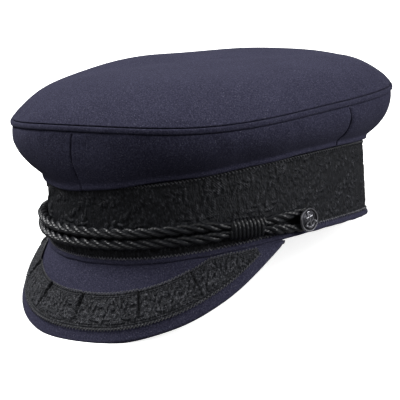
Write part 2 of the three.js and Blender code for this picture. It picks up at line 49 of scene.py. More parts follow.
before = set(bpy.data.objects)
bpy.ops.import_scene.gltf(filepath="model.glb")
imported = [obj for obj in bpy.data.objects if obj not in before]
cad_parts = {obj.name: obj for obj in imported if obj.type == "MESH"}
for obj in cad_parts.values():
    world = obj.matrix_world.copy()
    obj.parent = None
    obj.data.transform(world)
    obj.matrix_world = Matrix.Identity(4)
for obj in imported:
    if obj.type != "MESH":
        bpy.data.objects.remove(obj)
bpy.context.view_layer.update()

MM = 0.001
TAU = 2 * math.pi
QUARTER = math.pi / 2
GAP = 0.3 * MM  # between neighbouring pieces
EDGE_TUCK = 1.6 * MM  # how far a panel's edge is drawn in at its seam

# Seams between the side panels: degrees of turn at the welt, and how much further at the fold
CROWN_SEAMS = [(-0.5, -3), (92.5, 3.5), (180, 0), (267.5, -3.5)]
SIDE_NAMES = ["front_left", "back_left", "back_right", "front_right"]

# The cap's two sides, for the sliders and the buttons, and which way each lies along X
SIDES = {"left": 1, "right": -1}

# Where the soft top stands higher or lower than an even dome: place, lift and spread
TOP_SWELLS = [
    (22 * MM, 70 * MM, -3.2 * MM, 50 * MM),
    (-60 * MM, 22 * MM, 1.6 * MM, 38 * MM),
    (68 * MM, 64 * MM, 3.2 * MM, 24 * MM),
]

# Folds of the braid on the peak: degrees of turn at its inner and outer edge
PLEATS = [(-50, -55), (-32.6, -38.5), (-16.3, -20.7), (-0.7, -1.5), (18.5, 20.5), (36, 40), (52, 57)]

# Along each edge of a braid: where its two twisted lines lie, half the width of one, the length
# of one twist, and how high they stand beside the leaves
LINE_PLACES = [0.7 * MM, 2.1 * MM]
LINE_HALF = 0.6 * MM
LINE_PITCH = 2.4 * MM
LINE_LIFT = 0.75

# Leaves start to show this far from a braid's edge, and show whole from there on
LEAVES_FROM = [2.6 * MM, 3.2 * MM]

# The height in the braid's relief, as a share of a leaf's, that lies at the braid's thickness
FACE_LEVEL = 0.8

# The sprays of one repeat of the braid's figure: where each starts, as shares of the repeat and of
# the width, degrees of climb, pairs of leaves, and the leaves' length and breadth
SPRAYS = [
    (0.0, 0.08, 42, 5, 7.0 * MM, 3.3 * MM),
    (0.5, 0.1, 56, 4, 6.6 * MM, 3.1 * MM),
    (0.28, 0.09, 10, 2, 5.6 * MM, 2.8 * MM),
    (0.46, 0.93, -150, 3, 5.8 * MM, 2.8 * MM),
    (0.98, 0.95, -140, 3, 5.8 * MM, 2.8 * MM),
    (0.8, 0.08, 18, 2, 5.2 * MM, 2.6 * MM),
    (0.7, 0.92, -30, 2, 5.2 * MM, 2.6 * MM),
]

# The line midway between the cord's two runs: degrees of turn each way, and height above the hem
CORD_ROUTE = [
    (0, 16 * MM),
    (14, 15.9 * MM),
    (28, 15.6 * MM),
    (42, 14.8 * MM),
    (51, 13.8 * MM),
    (57, 12.9 * MM),
    (63, 11.9 * MM),
    (70, 10.6 * MM),
]

# A button's profile from the shank's top to the middle of its face: radius and height as shares
# of the head's radius and thickness
BUTTON_PROFILE = [
    (0.93, 0.0),
    (1.0, 0.25),
    (1.0, 0.7),
    (0.98, 1.0),
    (0.94, 1.15),
    (0.88, 1.12),
    (0.84, 0.85),
    (0.82, 0.62),
    (0.78, 0.58),
    (0.6, 0.86),
    (0.35, 1.06),
    (0.12, 1.12),
]

# The studio's soft lights: name, place, side of the square, and power
LIGHTS = [
    ("top_softbox", (0.2, -1.6, 2.1), 2.6, 30),
    ("left_softbox", (-1.2, -0.2, 1.6), 1.0, 52),
    ("rear_softbox", (1.5, 0.8, 0.62), 1.1, 36),
]
LIGHTS_AIM = (0, 0, 0.07)
FILL_LIGHT = 0.15
FLOOR_SIDE = 30


# Sizes and colours that a user can change


def size(name, description, millimetres):
    """A length, given in millimetres."""
    return FloatProperty(name=name, description=description, default=millimetres * MM, unit="LENGTH")


def angle(name, description, degrees):
    """An angle, given in degrees."""
    return FloatProperty(
        name=name, description=description, default=math.radians(degrees), subtype="ANGLE"
    )


def number(name, description, value):
    """A plain number, such as an exponent or a share."""
    return FloatProperty(name=name, description=description, default=value)


def count(name, description, value):
    """A whole number of things."""
    return IntProperty(name=name, description=description, default=value, min=1)


def colour(name, description, *rgb):
    """A colour, as shares of full red, green and blue light."""
    return FloatVectorProperty(
        name=name, description=description, default=rgb, min=0, max=1, subtype="COLOR"
    )


class BandSizes(bpy.types.PropertyGroup):
    """The upright band, its hem and its braid."""

    length: size("Length", "Outside the braid, front to back", 207.5)
    width: size("Width", "Outside the braid, side to side", 175)
    squareness: number("Squareness", "Exponent of the oval: 2 is an ellipse", 2.2)
    height: size("Height", "From the hem to the fold of the crown", 46.5)
    wall: size("Wall", "Thickness of the stiff band", 2.4)
    tuck: size("Tuck", "How far the band goes up inside the crown", 3)
    saddle: size("Saddle", "The hem dips by this at front and back", 4.9)
    hem_strip: size("Hem strip", "Cloth that shows below the braid", 4)
    hem_roll: size("Hem roll", "How far the rolled hem stands outside the braid", 1.3)
    braid: size("Braid", "Thickness of the braid", 1.2)
    relief: size("Figure", "How far the woven leaves stand up", 0.8)
    repeats: count("Sprigs", "Number of sprigs round the band", 15)


class CrownSizes(bpy.types.PropertyGroup):
    """The soft crown."""

    length: size("Length", "Along the welt, front to back", 230)
    width: size("Width", "Along the welt, side to side", 204)
    squareness: number("Squareness", "Exponent of the oval of the welt", 2.56)
    height: size("Height", "From the hem to the middle of the welt", 78)
    rise: size("Rise", "How much higher the welt is at the back", 4.6)
    saddle: size("Saddle", "Rise of the welt at front and back", 1)
    corner: size("Corner", "Dip of the welt at its four corners", 0.9)
    side_fullness: number("Side fullness", "Exponent of the sweep up the side", 2.3)
    dome: size("Dome", "Height of the top above the welt", 22.6)
    dome_fullness: number("Dome fullness", "Exponent of the dome: higher is flatter", 5.5)
    wall: size("Cloth", "Thickness of the cloth", 2)
    welt: size("Welt", "Height of the welt", 4)
    welt_roll: size("Welt roll", "Height of the part of it that shows", 3.1)
    welt_proud: size("Welt stand", "How far the welt stands out", 0.9)
    welt_depth: size("Welt depth", "Depth of the welt's strip", 3)
    fold_strip: size("Fold strip", "Upright cloth above the fold", 3.2)
    fold_round: size("Fold round", "Radius of the rolled fold", 1.2)
    pouch: size("Pouch", "How far the crown sags at the wearer's right front", 6.7)
    pouch_turn: angle("Pouch turn", "Where it sags the most", -34)
    pouch_spread: angle("Pouch spread", "How far round it sags, each way", 65)
    pouch_strip: number("Pouch strip", "Share of the sag that hangs upright", 0.15)
    seam_groove: size("Seam groove", "Depth of the seams between the side panels", 0.9)
    seam_half: size("Seam half width", "Half the width of those grooves", 1.8)
    pucker: size("Pucker", "Ripple of the cloth along the welt", 0.28)
    slack: size("Slack", "Gentle unevenness of the cloth", 0.5)


class PeakSizes(bpy.types.PropertyGroup):
    """The peak and the braid on it."""

    half_turn: angle("Half turn", "How far round the peak reaches, each way", 72)
    reach: size("Reach", "Down the slope at the front", 46.2)
    fullness: number("Fullness", "Exponent of the peak's outline", 2.4)
    taper: number("Taper", "Exponent of the narrowing towards its ends", 1.26)
    tip: size("Tip", "Slope length left at the two ends", 1.5)
    lean: angle("Lean", "Below level at the front", 61)
    end_lean: angle("End lean", "Below level at the ends", 47)
    wall: size("Wall", "Thickness of the peak", 2.6)
    camber: size("Camber", "Rise of the face between root and edge", 1.2)
    root: size("Root", "How far outside the hem the peak starts", 0.4)
    rim: size("Rim", "Bare cloth between the braid and the edge", 7.5)
    braid_width: size("Braid width", "Width of the braid on the peak", 21.5)
    braid: size("Braid", "Thickness of that braid", 1)
    braid_end: angle("Braid end", "How far round the braid reaches, each way", 61)
    pleat: size("Pleat", "Height of a pleat at the inner edge", 1.5)
    crease: size("Crease", "Depth of the fold beside a pleat", 0.9)
    pleat_swell: number("Pleat swell", "Exponent of the rise towards a pleat", 3)


class CordSizes(bpy.types.PropertyGroup):
    """The chin cord and its sliders."""

    diameter: size("Diameter", "Across one run of the cord", 6.2)
    lay: size("Lay", "Length of one full twist", 24)
    strands: count("Strands", "Strands in the cord", 3)
    spacing: size("Spacing", "Between the middles of the two runs", 6.6)
    slider_turn: angle("Slider turn", "Where the sliders sit, each way", 57)
    slider_length: size("Slider length", "Along the cord", 20)
    slider_turns: count("Windings", "Windings of thread on a slider", 9)
    slider_wall: size("Slider wall", "Thickness of the windings", 1.5)
    slider_end_wall: size("Slider end", "Thickness of the last winding", 0.9)
    slider_pinch: number("Slider pinch", "Share that the cord keeps inside a slider", 0.7)
    slider_thread: size("Slider thread", "Thickness of the thread wound on a slider", 1.5)
    shank_pinch: number("Shank pinch", "Share that the cord keeps round a shank", 0.78)


class ButtonSizes(bpy.types.PropertyGroup):
    """The two metal buttons."""

    turn: angle("Turn", "Where the buttons sit, each way", 79.8)
    height: size("Height", "Above the hem", 9.3)
    diameter: size("Diameter", "Across the head", 14)
    edge: size("Edge", "Thickness of the head at its rim", 1.5)
    shank: size("Shank", "Diameter of the shank", 3.4)
    anchor: size("Anchor", "Height of the raised anchor", 10)
    anchor_turn: angle("Anchor turn", "Turn of the button on its shank", 14)
    line: size("Line", "Width of the anchor's strokes", 1.5)


class RestSizes(bpy.types.PropertyGroup):
    """How the cap rests."""

    hem_press: size("Hem press", "How far the hem is flattened at the rear", 1)
    edge_press: size("Edge press", "How far the peak's edge is flattened", 0.3)


class CapColours(bpy.types.PropertyGroup):
    """The cap's colours."""

    wool: colour("Wool", "Navy wool cloth", 0.017, 0.0166, 0.0315)
    wool_fleck: colour("Wool fleck", "Lighter fibres in the wool", 0.056, 0.0556, 0.093)
    lint: colour("Lint", "Single pale fibres in the wool", 0.13, 0.13, 0.17)
    braid: colour("Braid", "Ground of the black braid", 0.003, 0.0033, 0.0042)
    braid_thread: colour("Braid thread", "Raised threads of the braid", 0.021, 0.0224, 0.028)
    # braid_glint is a painted highlight: glints of the silky threads, painted into the braid's colour
    braid_glint: colour("Braid glints", "Brightest threads of the braid", 0.092, 0.093, 0.105)
    edging: colour("Edging", "Loops along the edges of the braid", 0.15, 0.15, 0.17)
    cord: colour("Cord", "Black silky cord", 0.006, 0.0065, 0.008)
    cord_yarn: colour("Cord yarn", "Worn yarns of the cord", 0.022, 0.023, 0.028)
    metal: colour("Metal", "Dark plated metal", 0.025, 0.025, 0.03)
    metal_worn: colour("Worn metal", "Raised metal, rubbed bright", 0.25, 0.25, 0.272)
    floor: colour("Floor", "Pale floor", 0.9, 0.9, 0.9)


class ViewSettings(bpy.types.PropertyGroup):
    """The camera, set against the cap's own frame."""

    yaw: angle("Yaw", "Round the cap from its front", 39.7236)
    rise: angle("Rise", "Above the level of the hem", 7.053)
    roll: angle("Roll", "Turn of the picture", -3.0909)
    distance: size("Distance", "From the cap's middle", 1150)
    middle: size("Middle", "Height of the cap's middle above the hem", 60)
    aim_right: size("Aim right", "The view's centre, right of the cap's middle", -3.12)
    aim_up: size("Aim up", "The view's centre, above the cap's middle", -43.25)
    lens: FloatProperty(name="Lens", description="Focal length", default=168.7, unit="CAMERA")


class CapSettings(bpy.types.PropertyGroup):
    """All sizes and colours of the cap."""

    band: PointerProperty(type=BandSizes)
    crown: PointerProperty(type=CrownSizes)
    peak: PointerProperty(type=PeakSizes)
    cord: PointerProperty(type=CordSizes)
    button: PointerProperty(type=ButtonSizes)
    rest: PointerProperty(type=RestSizes)
    colours: PointerProperty(type=CapColours)
    view: PointerProperty(type=ViewSettings)


# Small sums


def signed_power(value, power):
    """The power of a value's size, with the value's own sign."""
    return np.sign(value) * np.abs(value) ** power


def stack(x, y, z):
    """Points from their three coordinates."""
    return np.stack(np.broadcast_arrays(x, y, z), axis=-1).astype(float)


def times(vectors, amount):
    """Each vector times its own amount."""
    return vectors * np.asarray(amount, float)[..., None]


def unit(vectors):
    """The vectors' directions, each of length 1."""
    return vectors / np.linalg.norm(vectors, axis=-1, keepdims=True)


def lerp(low, high, share):
    """The value that lies a share of the way from low to high."""
    return low + (high - low) * share


def part_way(value, low, high):
    """How far a value lies from low to high: 0 before them and 1 past them."""
    return np.clip((value - low) / (high - low), 0, 1)


def smooth_step(value, low, high):
    """The same, with an easy start and end."""
    share = part_way(value, low, high)
    return share * share * (3 - 2 * share)


def level_unit(vectors):
    """The vectors' directions on the level."""
    return unit(stack(vectors[..., 0], vectors[..., 1], 0))


def stitches(share, around, length):
    """1 at each stitch along a closed seam, and 0 midway between two."""
    return (0.5 + 0.5 * np.cos(TAU * share * round(around / length))) ** 3


def twisted(along, pitch):
    """The height of a twisted thread along its length, from 0.2 to 1."""
    return 0.6 + 0.4 * np.cos(TAU * along / pitch)


def unevenness(points, wavelength, seed):
    """A smooth random height, about -1 to 1, from a few waves that cross each other."""
    draw = np.random.default_rng(seed)
    total = np.zeros(points.shape[:-1])
    waves = 7
    for _ in range(waves):
        way = unit(draw.normal(size=3)) * TAU / (wavelength * draw.uniform(0.7, 1.5))
        total += np.sin(points @ way + draw.uniform(0, TAU))
    return total / math.sqrt(waves)


def soften(points, passes, closed=False):
    """Rounds the corners down each column of points, and keeps the two ends of an open one."""
    for _ in range(passes):
        before = np.roll(points, 1, axis=0)
        after = np.roll(points, -1, axis=0)
        if closed:
            before[0] = points[-2]
            after[-1] = points[1]
        rounded = (before + 2 * points + after) / 4
        if not closed:
            rounded[[0, -1]] = points[[0, -1]]
        points = rounded
    return points


def slope(points, axis, closed=False):
    """Differences along one axis of a grid of points, also across the join of a closed one."""
    if not closed:
        return np.gradient(points, axis=axis)
    points = np.moveaxis(points, axis, 0)
    wrapped = np.concatenate([points[-2:-1], points, points[1:2]])
    return np.moveaxis(wrapped[2:] - wrapped[:-2], 0, axis)


def normals(points, round_u=False, round_v=False):
    """Directions square to a grid of points."""
    across = slope(points, 1, closed=round_u)
    along = slope(points, 0, closed=round_v)
    return unit(np.cross(across, along) + 1e-15)


def even_turns(curve):
    """A function from a share of a closed curve's length to its turn, and that length."""
    turn = np.linspace(0, TAU, 4001)
    steps = np.linalg.norm(np.diff(curve(turn), axis=0), axis=-1)
    arc = np.concatenate([[0], np.cumsum(steps)])
    return lambda share: np.interp(share, arc / arc[-1], turn), arc[-1]


# The cap's own surfaces


def cap():
    """The sizes and colours in the sidebar."""
    return bpy.context.scene.fisherman_cap


def oval(length, width, squareness, turn):
    """Points of a flat oval."""
    power = 2 / squareness
    x = width / 2 * signed_power(np.sin(turn), power)
    y = -length / 2 * signed_power(np.cos(turn), power)
    return stack(x, y, 0)


def band_outward(turn):
    """The level direction straight out of the band."""
    band = cap().band
    power = 2 - 2 / band.squareness
    x = signed_power(np.sin(turn), power) / (band.width / 2)
    y = -signed_power(np.cos(turn), power) / (band.length / 2)
    return unit(stack(x, y, 0))


def band_point(turn, out, height):
    """Points beside the band: "out" from the face of the braid, "height" above the hem."""
    band = cap().band
    turn, out, height = np.broadcast_arrays(np.asarray(turn, float), out, height)
    point = oval(band.length, band.width, band.squareness, turn) + times(band_outward(turn), out)
    point[..., 2] = height - band.saddle * np.cos(2 * turn)
    return point


def band_turns():
    """A function from a share of the way round the band to its turn, and the way's length."""
    return even_turns(lambda turn: band_point(turn, 0, 0))


def welt_point(turn):
    """The middle of the welt."""
    crown = cap().crown
    point = oval(crown.length, crown.width, crown.squareness, turn)
    tilt = -crown.rise * np.cos(turn)
    wave = crown.saddle * np.cos(2 * turn) + crown.corner * np.cos(4 * turn)
    point[..., 2] = crown.height + tilt + wave
    return point


def pouch_sag(turn):
    """How far the crown sags over the braid."""
    crown = cap().crown
    past = (turn - crown.pouch_turn) % TAU
    share = np.minimum(1, np.minimum(past, TAU - past) / crown.pouch_spread)
    return crown.pouch * (1 + np.cos(math.pi * share)) / 2


def hem_foot():
    """How far out the underside of the hem reaches."""
    return cap().band.hem_roll / 3


def peak_reach(share):
    """The peak's length down its slope, at a share (-1 to 1) of its half turn."""
    peak = cap().peak
    narrowing = (1 - np.abs(share) ** peak.fullness) ** peak.taper
    return peak.tip + (peak.reach - peak.tip) * narrowing


def peak_point(share, along, lift):
    """Points on the peak: "along" down its slope, "lift" off its face."""
    peak = cap().peak
    share, along, lift = np.broadcast_arrays(np.asarray(share, float), along, lift)
    turn = share * peak.half_turn
    lean = lerp(peak.lean, peak.end_lean, share * share)
    camber = peak.camber * np.sin(math.pi * np.clip(along / peak_reach(share), 0, 1))
    out = along * np.cos(lean) + (lift + camber) * np.sin(lean)
    fall = along * np.sin(lean) - (lift + camber) * np.cos(lean)
    point = band_point(turn, hem_foot() + peak.root, -GAP) + times(band_outward(turn), out)
    point[..., 2] -= fall
    return point


def resting():
    """The angle by which the cap leans back, and its shift along Y and Z, onto the floor."""
    rest = cap().rest
    rear = band_point(math.pi, hem_foot(), rest.hem_press)
    front = peak_point(0, cap().peak.reach, 0)
    touch = front[2] + rest.edge_press
    lean = math.atan2(rear[2] - touch, rear[1] - front[1])
    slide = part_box("peak")[0].y - (math.cos(lean) * front[1] + math.sin(lean) * front[2])
    lift = math.sin(lean) * rear[1] - math.cos(lean) * rear[2]
    return lean, slide, lift


def standing():
    """The same lean and shift, as a matrix."""
    lean, slide, lift = resting()
    return Matrix.Translation((0, slide, lift)) @ Matrix.Rotation(-lean, 4, "X")


def at_rest(points):
    """Points of the cap's own frame as the cap stands on the floor, none of them below it."""
    lean, slide, lift = resting()
    y = math.cos(lean) * points[..., 1] + math.sin(lean) * points[..., 2] + slide
    z = math.cos(lean) * points[..., 2] - math.sin(lean) * points[..., 1] + lift
    return stack(points[..., 0], y, np.maximum(z, 0))


# Making pieces


def add_part(add, **place):
    """Adds one primitive, alone selected, with its place in its mesh."""
    bpy.ops.object.select_all(action="DESELECT")
    add(**place)
    bpy.ops.object.transform_apply(location=True, rotation=True, scale=True)
    return bpy.context.object


def join_parts(parts, name):
    """Joins parts into one piece."""
    bpy.ops.object.select_all(action="DESELECT")
    for part in parts:
        part.select_set(True)
    piece = bpy.context.view_layer.objects.active = parts[0]
    bpy.ops.object.join()
    piece.name = piece.data.name = name
    return piece


def grid_piece(name, shape, columns, rows, closed=True, wall=0.0):
    """Adds a grid, lays it on a surface, closes it where its edges meet, and gives it a wall.

    shape(u, v) takes shares across and up the grid. It gives "points" in the cap's own frame,
    "cloth", each point's place on the flat material, and any more values for the material.
    """
    piece = add_part(bpy.ops.mesh.primitive_grid_add, x_subdivisions=columns, y_subdivisions=rows, size=1)
    mesh = piece.data
    piece.name = mesh.name = name
    flat = np.empty(len(mesh.vertices) * 3)
    mesh.vertices.foreach_get("co", flat)
    flat = flat.reshape(-1, 3) + 0.5
    across = np.rint(flat[:, 0] * columns).astype(int)
    along = np.rint(flat[:, 1] * rows).astype(int)
    u, v = np.meshgrid(np.linspace(0, 1, columns + 1), np.linspace(0, 1, rows + 1))
    laid = shape(u, v)
    mesh.vertices.foreach_set("co", at_rest(laid.pop("points"))[along, across].ravel())
    corners = np.empty(len(mesh.loops), int)
    mesh.loops.foreach_get("vertex_index", corners)
    cloth = laid.pop("cloth")[along, across][corners]
    mesh.uv_layers[0].data.foreach_set("uv", cloth.ravel())
    for key, values in laid.items():
        layer = mesh.attributes.new(key, "FLOAT", "POINT")
        layer.data.foreach_set("value", values[along, across].ravel())
    if closed:
        close_seams(fill=not wall)
    if wall:
        solidify(piece, wall)
    bpy.ops.object.shade_smooth()
    return piece


def close_seams(fill):
    """Joins the active piece's edges where they meet, fills its ends, and turns it outwards."""
    bpy.ops.object.mode_set(mode="EDIT")
    bpy.ops.mesh.select_all(action="SELECT")
    bpy.ops.mesh.remove_doubles(threshold=1e-6)
    if fill:
        bpy.ops.mesh.fill_holes(sides=0)
        bpy.ops.mesh.select_all(action="SELECT")
    bpy.ops.mesh.normals_make_consistent(inside=False)
    bpy.ops.object.mode_set(mode="OBJECT")


def solidify(piece, wall):
    """Gives the active piece its thickness, on the inside of its face."""
    modifier = piece.modifiers.new("wall", "SOLIDIFY")
    modifier.thickness = wall
    modifier.offset = -1
    bpy.ops.object.modifier_apply(modifier=modifier.name)


def finish_piece(piece, finish, *nodes):
    """Gives a piece its finish, and its place on the cap."""
    piece.data.materials.clear()
    piece.data.materials.append(material(finish))
    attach(piece, "root")
    if nodes:
        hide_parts(*nodes)


# Crown


def top_panel(u, v):
    """The dome, from the tuck under its rim to the middle."""
    crown = cap().crown
    turn_at, around = even_turns(welt_point)
    turn = turn_at(u)
    rim = welt_point(turn)
    tuck_share, tuck_drop = 0.05, 1.1 * MM
    tuck = 1 - part_way(v, 0, tuck_share)
    share = 1 - part_way(v, tuck_share, 1) ** 1.5
    seat = crown.welt / 2 + GAP
    height = lerp(crown.height, rim[..., 2], share) + seat
    height += crown.dome * (1 - share**crown.dome_fullness)
    points = times(rim, share)
    for x, y, lift, spread in TOP_SWELLS:
        away = ((points[..., 0] - x) ** 2 + (points[..., 1] - y) ** 2) / spread**2
        height += lift * np.exp(-away) * (1 - share**4)
    points[..., 2] = height
    points -= times(level_unit(rim), EDGE_TUCK * np.sin(tuck * QUARTER))
    points[..., 2] -= tuck_drop * tuck
    points = soften(points, 2)
    facing = normals(points, round_u=True)
    facing[-1] = (0, 0, 1)
    from_rim = (1 - share) * around / TAU
    near_rim = smooth_step(from_rim, 0.5 * MM, 4 * MM) * np.exp(-from_rim / (7 * MM))
    ripple = near_rim * unevenness(rim, 9 * MM, seed=3)
    slack = unevenness(points, 70 * MM, seed=5) * smooth_step(from_rim, 0, 20 * MM)
    points += times(facing, 2 * crown.pucker * ripple + crown.slack * slack)
    return {"points": points, "cloth": points[..., :2]}


def welt_strip(u, v):
    """The rounded strip between the top and the sides, pinched a little at each stitch."""
    crown = cap().crown
    turn_at, around = even_turns(welt_point)
    middle = welt_point(turn_at(u))
    turn = lerp(-math.pi, math.pi, v)
    face = np.cos(turn) > 0
    power = np.where(face, 0.75, 0.3)
    depth = np.where(face, crown.welt_proud, crown.welt_depth - crown.welt_proud)
    out = depth * signed_power(np.cos(turn), power)
    half = crown.welt_roll / 2
    height = half * signed_power(np.sin(turn), 0.8)
    near_edge = smooth_step(np.abs(height), 0.35 * half, 0.9 * half)
    stitch_depth, stitch_length = 0.16 * MM, 3.2 * MM
    out -= stitch_depth * stitches(u, around, stitch_length) * near_edge * face
    wobble = 0.15 * MM * unevenness(middle, 14 * MM, seed=8)
    points = middle + times(level_unit(middle), out + wobble)
    points[..., 2] += height
    return {"points": points, "cloth": np.stack([u * around, height], -1)}


def side_panel(quarter):
    """The shape of one panel of the crown's side, between two seams that may lean."""
    start_turn, start_lean = CROWN_SEAMS[quarter]
    end_turn, end_lean = CROWN_SEAMS[(quarter + 1) % len(CROWN_SEAMS)]
    end_turn += 360 if end_turn < start_turn else 0

    def shape(u, v):
        crown = cap().crown
        roll_share, strip_share, tuck_share = 0.08, 0.2, 0.95
        sweep = part_way(v, strip_share, tuck_share)
        spread = lerp(u, (1 - np.cos(math.pi * u)) / 2, 0.75)
        inset = 0.3 * GAP / cap().band.width
        start = np.radians(start_turn + start_lean * (1 - sweep)) + inset
        end = np.radians(end_turn + end_lean * (1 - sweep)) - inset
        turn = lerp(start, end, spread)
        sag = pouch_sag(turn)
        fold = band_point(turn, GAP + crown.wall, cap().band.height - sag)
        rim = welt_point(turn)
        top = rim[..., 2] - crown.welt / 2 - GAP
        bottom = fold[..., 2] + crown.fold_strip + crown.pouch_strip * sag
        swell = np.linalg.norm((rim - fold)[..., :2], axis=-1)
        round_turn = part_way(v, 0, roll_share) * QUARTER
        out = crown.fold_round * (np.sin(round_turn) - 1)
        out += swell * (1 - (1 - sweep) ** crown.side_fullness)
        roll_top = fold[..., 2] + crown.fold_round * (1 - np.cos(round_turn))
        height = lerp(roll_top, bottom, part_way(v, roll_share, strip_share))
        height = np.where(sweep > 0, lerp(bottom, top, sweep), height)
        tuck = part_way(v, tuck_share, 1) * QUARTER
        out -= EDGE_TUCK * (1 - np.cos(tuck))
        height += 0.7 * MM * np.sin(tuck)
        points = fold + times(level_unit(rim - fold), out)
        points[..., 2] = height
        points = soften(points, 5)
        facing = normals(points)
        arc_over_chord = 1.08
        width = np.linalg.norm(points[:, -1] - points[:, 0], axis=-1)[:, None] * arc_over_chord
        from_seam = np.minimum(spread, 1 - spread) * width
        bite = np.clip(1 - from_seam / crown.seam_half, 0, 1)
        from_welt = np.clip(top - height, 0, None)
        groove = 1 - np.sqrt(1 - bite * bite)
        sink = crown.seam_groove * groove * smooth_step(from_welt, 0, 1.2 * MM)
        near_welt = smooth_step(from_welt, 0.5 * MM, 4 * MM) * np.exp(-from_welt / (6 * MM))
        ripple = 1.6 * near_welt * unevenness(rim, 8 * MM, seed=21)
        drawn = unevenness(stack(0, 0, height), 9 * MM, seed=31 + quarter) * np.exp(-from_seam / (5 * MM))
        slack = unevenness(points, 42 * MM, seed=11) * (1 - bite) * part_way(from_welt, 0, 8 * MM)
        points += times(facing, crown.pucker * (ripple + drawn) + crown.slack * slack - sink)
        return {"points": points, "cloth": np.stack([spread * width, height], -1)}

    return shape


# Band


def band_cloth(u, v):
    """The stiff band with its rolled hem, as one closed section."""
    band = cap().band
    turn_at, around = band_turns()
    face = -band.braid - GAP
    inner = face - band.wall
    top = band.height + band.tuck
    strip = band.hem_strip - GAP
    corners = [
        (inner, 0.35 * band.height, 0.14),
        (inner, 0.9 * MM, 0.2),
        (inner + 0.9 * MM, 0, 0.25),
        (hem_foot(), 0, 0.37),
        (band.hem_roll, 0.3 * strip, 0.43),
        (band.hem_roll, 0.62 * strip, 0.5),
        (0, strip, 0.56),
        (face, strip, 0.6),
        (face, top, 0.85),
        (inner, top, 0.9),
        (inner, 0.35 * band.height, 1.14),
    ]
    outs, heights, shares = zip(*corners)
    section = v + shares[0]
    out = np.interp(section, shares, outs)
    height = np.interp(section, shares, heights)
    points = band_point(turn_at(u), out, height)
    points = soften(points, 3, closed=True)
    facing = normals(points, round_u=True, round_v=True)
    near_hem = 1 - smooth_step(height, strip * 0.6, strip)
    dimple = np.exp(-((height - 0.55 * strip) ** 2) / (0.5 * MM) ** 2) * (out > hem_foot() * 0.5)
    bumps = 0.18 * MM * unevenness(points, 16 * MM, seed=41) * near_hem
    stitch_depth, stitch_length = 0.25 * MM, 3.4 * MM
    sewn = stitch_depth * stitches(u, around, stitch_length) * dimple
    points += times(facing, bumps - sewn)
    return {"points": points, "cloth": np.stack([u * around, height], -1)}


def leaf(x, y, tip_angle, length, breadth):
    """Height of one pointed leaf, 1 on its back and 0 outside it, from its foot at the origin."""
    a = (x * math.cos(tip_angle) + y * math.sin(tip_angle)) / (length / 2) - 1
    b = (y * math.cos(tip_angle) - x * math.sin(tip_angle)) / (breadth / 2)
    edge = np.clip(1 - a * a, 1e-6, None)
    body = np.clip(1 - (b / edge) ** 2, 0, 1)
    vein_depth, vein_half = 0.45, 0.16
    vein = 1 - vein_depth * np.exp(-((b / vein_half) ** 2))
    return np.sqrt(body) * vein * (np.abs(a) < 1)


def spray(x, y, climb, pairs, length, breadth):
    """Height of one spray: paired leaves on a twisted stem that climbs from the origin."""
    pace, stem_half, stem_lift, stem_pitch = 0.8 * length, 0.1 * length, 0.8, 1.7 * MM
    a = x * math.cos(climb) + y * math.sin(climb)
    sway = 0.5 * length * np.sin(a / (pairs * pace) * math.pi) ** 2
    b = y * math.cos(climb) - x * math.sin(climb) - sway
    on_stem = (a > 0) * (a < pairs * pace)
    stem = np.clip(1 - (b / stem_half) ** 2, 0, 1) * twisted(a, stem_pitch) * on_stem
    raised = stem_lift * stem
    for i in range(pairs):
        lean = math.radians(48 - 4 * i)  # leaves lie closer to the stem, and are smaller, near its tip
        small = 1 - 0.3 * i / pairs
        for side in (-1, 1):
            foot = (i + 0.25 + 0.2 * side) * pace
            one = leaf(a - foot, b, side * lean, length * small, breadth * small)
            raised = np.maximum(raised, one)
    return np.maximum(raised, leaf(a - pairs * pace, b, 0, 0.9 * length, 0.8 * breadth))


def sprig_figure(along, up, width, repeat):
    """The woven figure: leafy sprays of a few sizes that fill the braid, again in each repeat."""
    raised = np.zeros_like(along)
    cell = along % repeat
    for wrap in (-repeat, 0, repeat):
        for foot, lift, climb, pairs, length, breadth in SPRAYS:
            x = cell - wrap - foot * repeat
            y = up - lift * width
            raised = np.maximum(raised, spray(x, y, math.radians(climb), pairs, length, breadth))
    return raised


def selvage(along, from_edge, pitch):
    """The two twisted lines along each edge of a braid."""
    lines = np.zeros_like(from_edge)
    for place in LINE_PLACES:
        line = np.clip(1 - ((from_edge - place) / LINE_HALF) ** 2, 0, 1)
        lines = np.maximum(lines, line * twisted(along + from_edge, pitch))
    return lines


def weave(figure, lines, from_edge):
    """A braid's leaves, kept clear of its edges, and the height of its whole relief."""
    leaves = figure * smooth_step(from_edge, *LEAVES_FROM)
    return leaves, np.maximum(leaves, LINE_LIFT * lines)


def edge_round(from_edge, depth):
    """How far a braid's face falls away at its very edge."""
    rounded_width = 0.8 * MM
    return depth * (1 - part_way(from_edge, 0, rounded_width)) ** 2


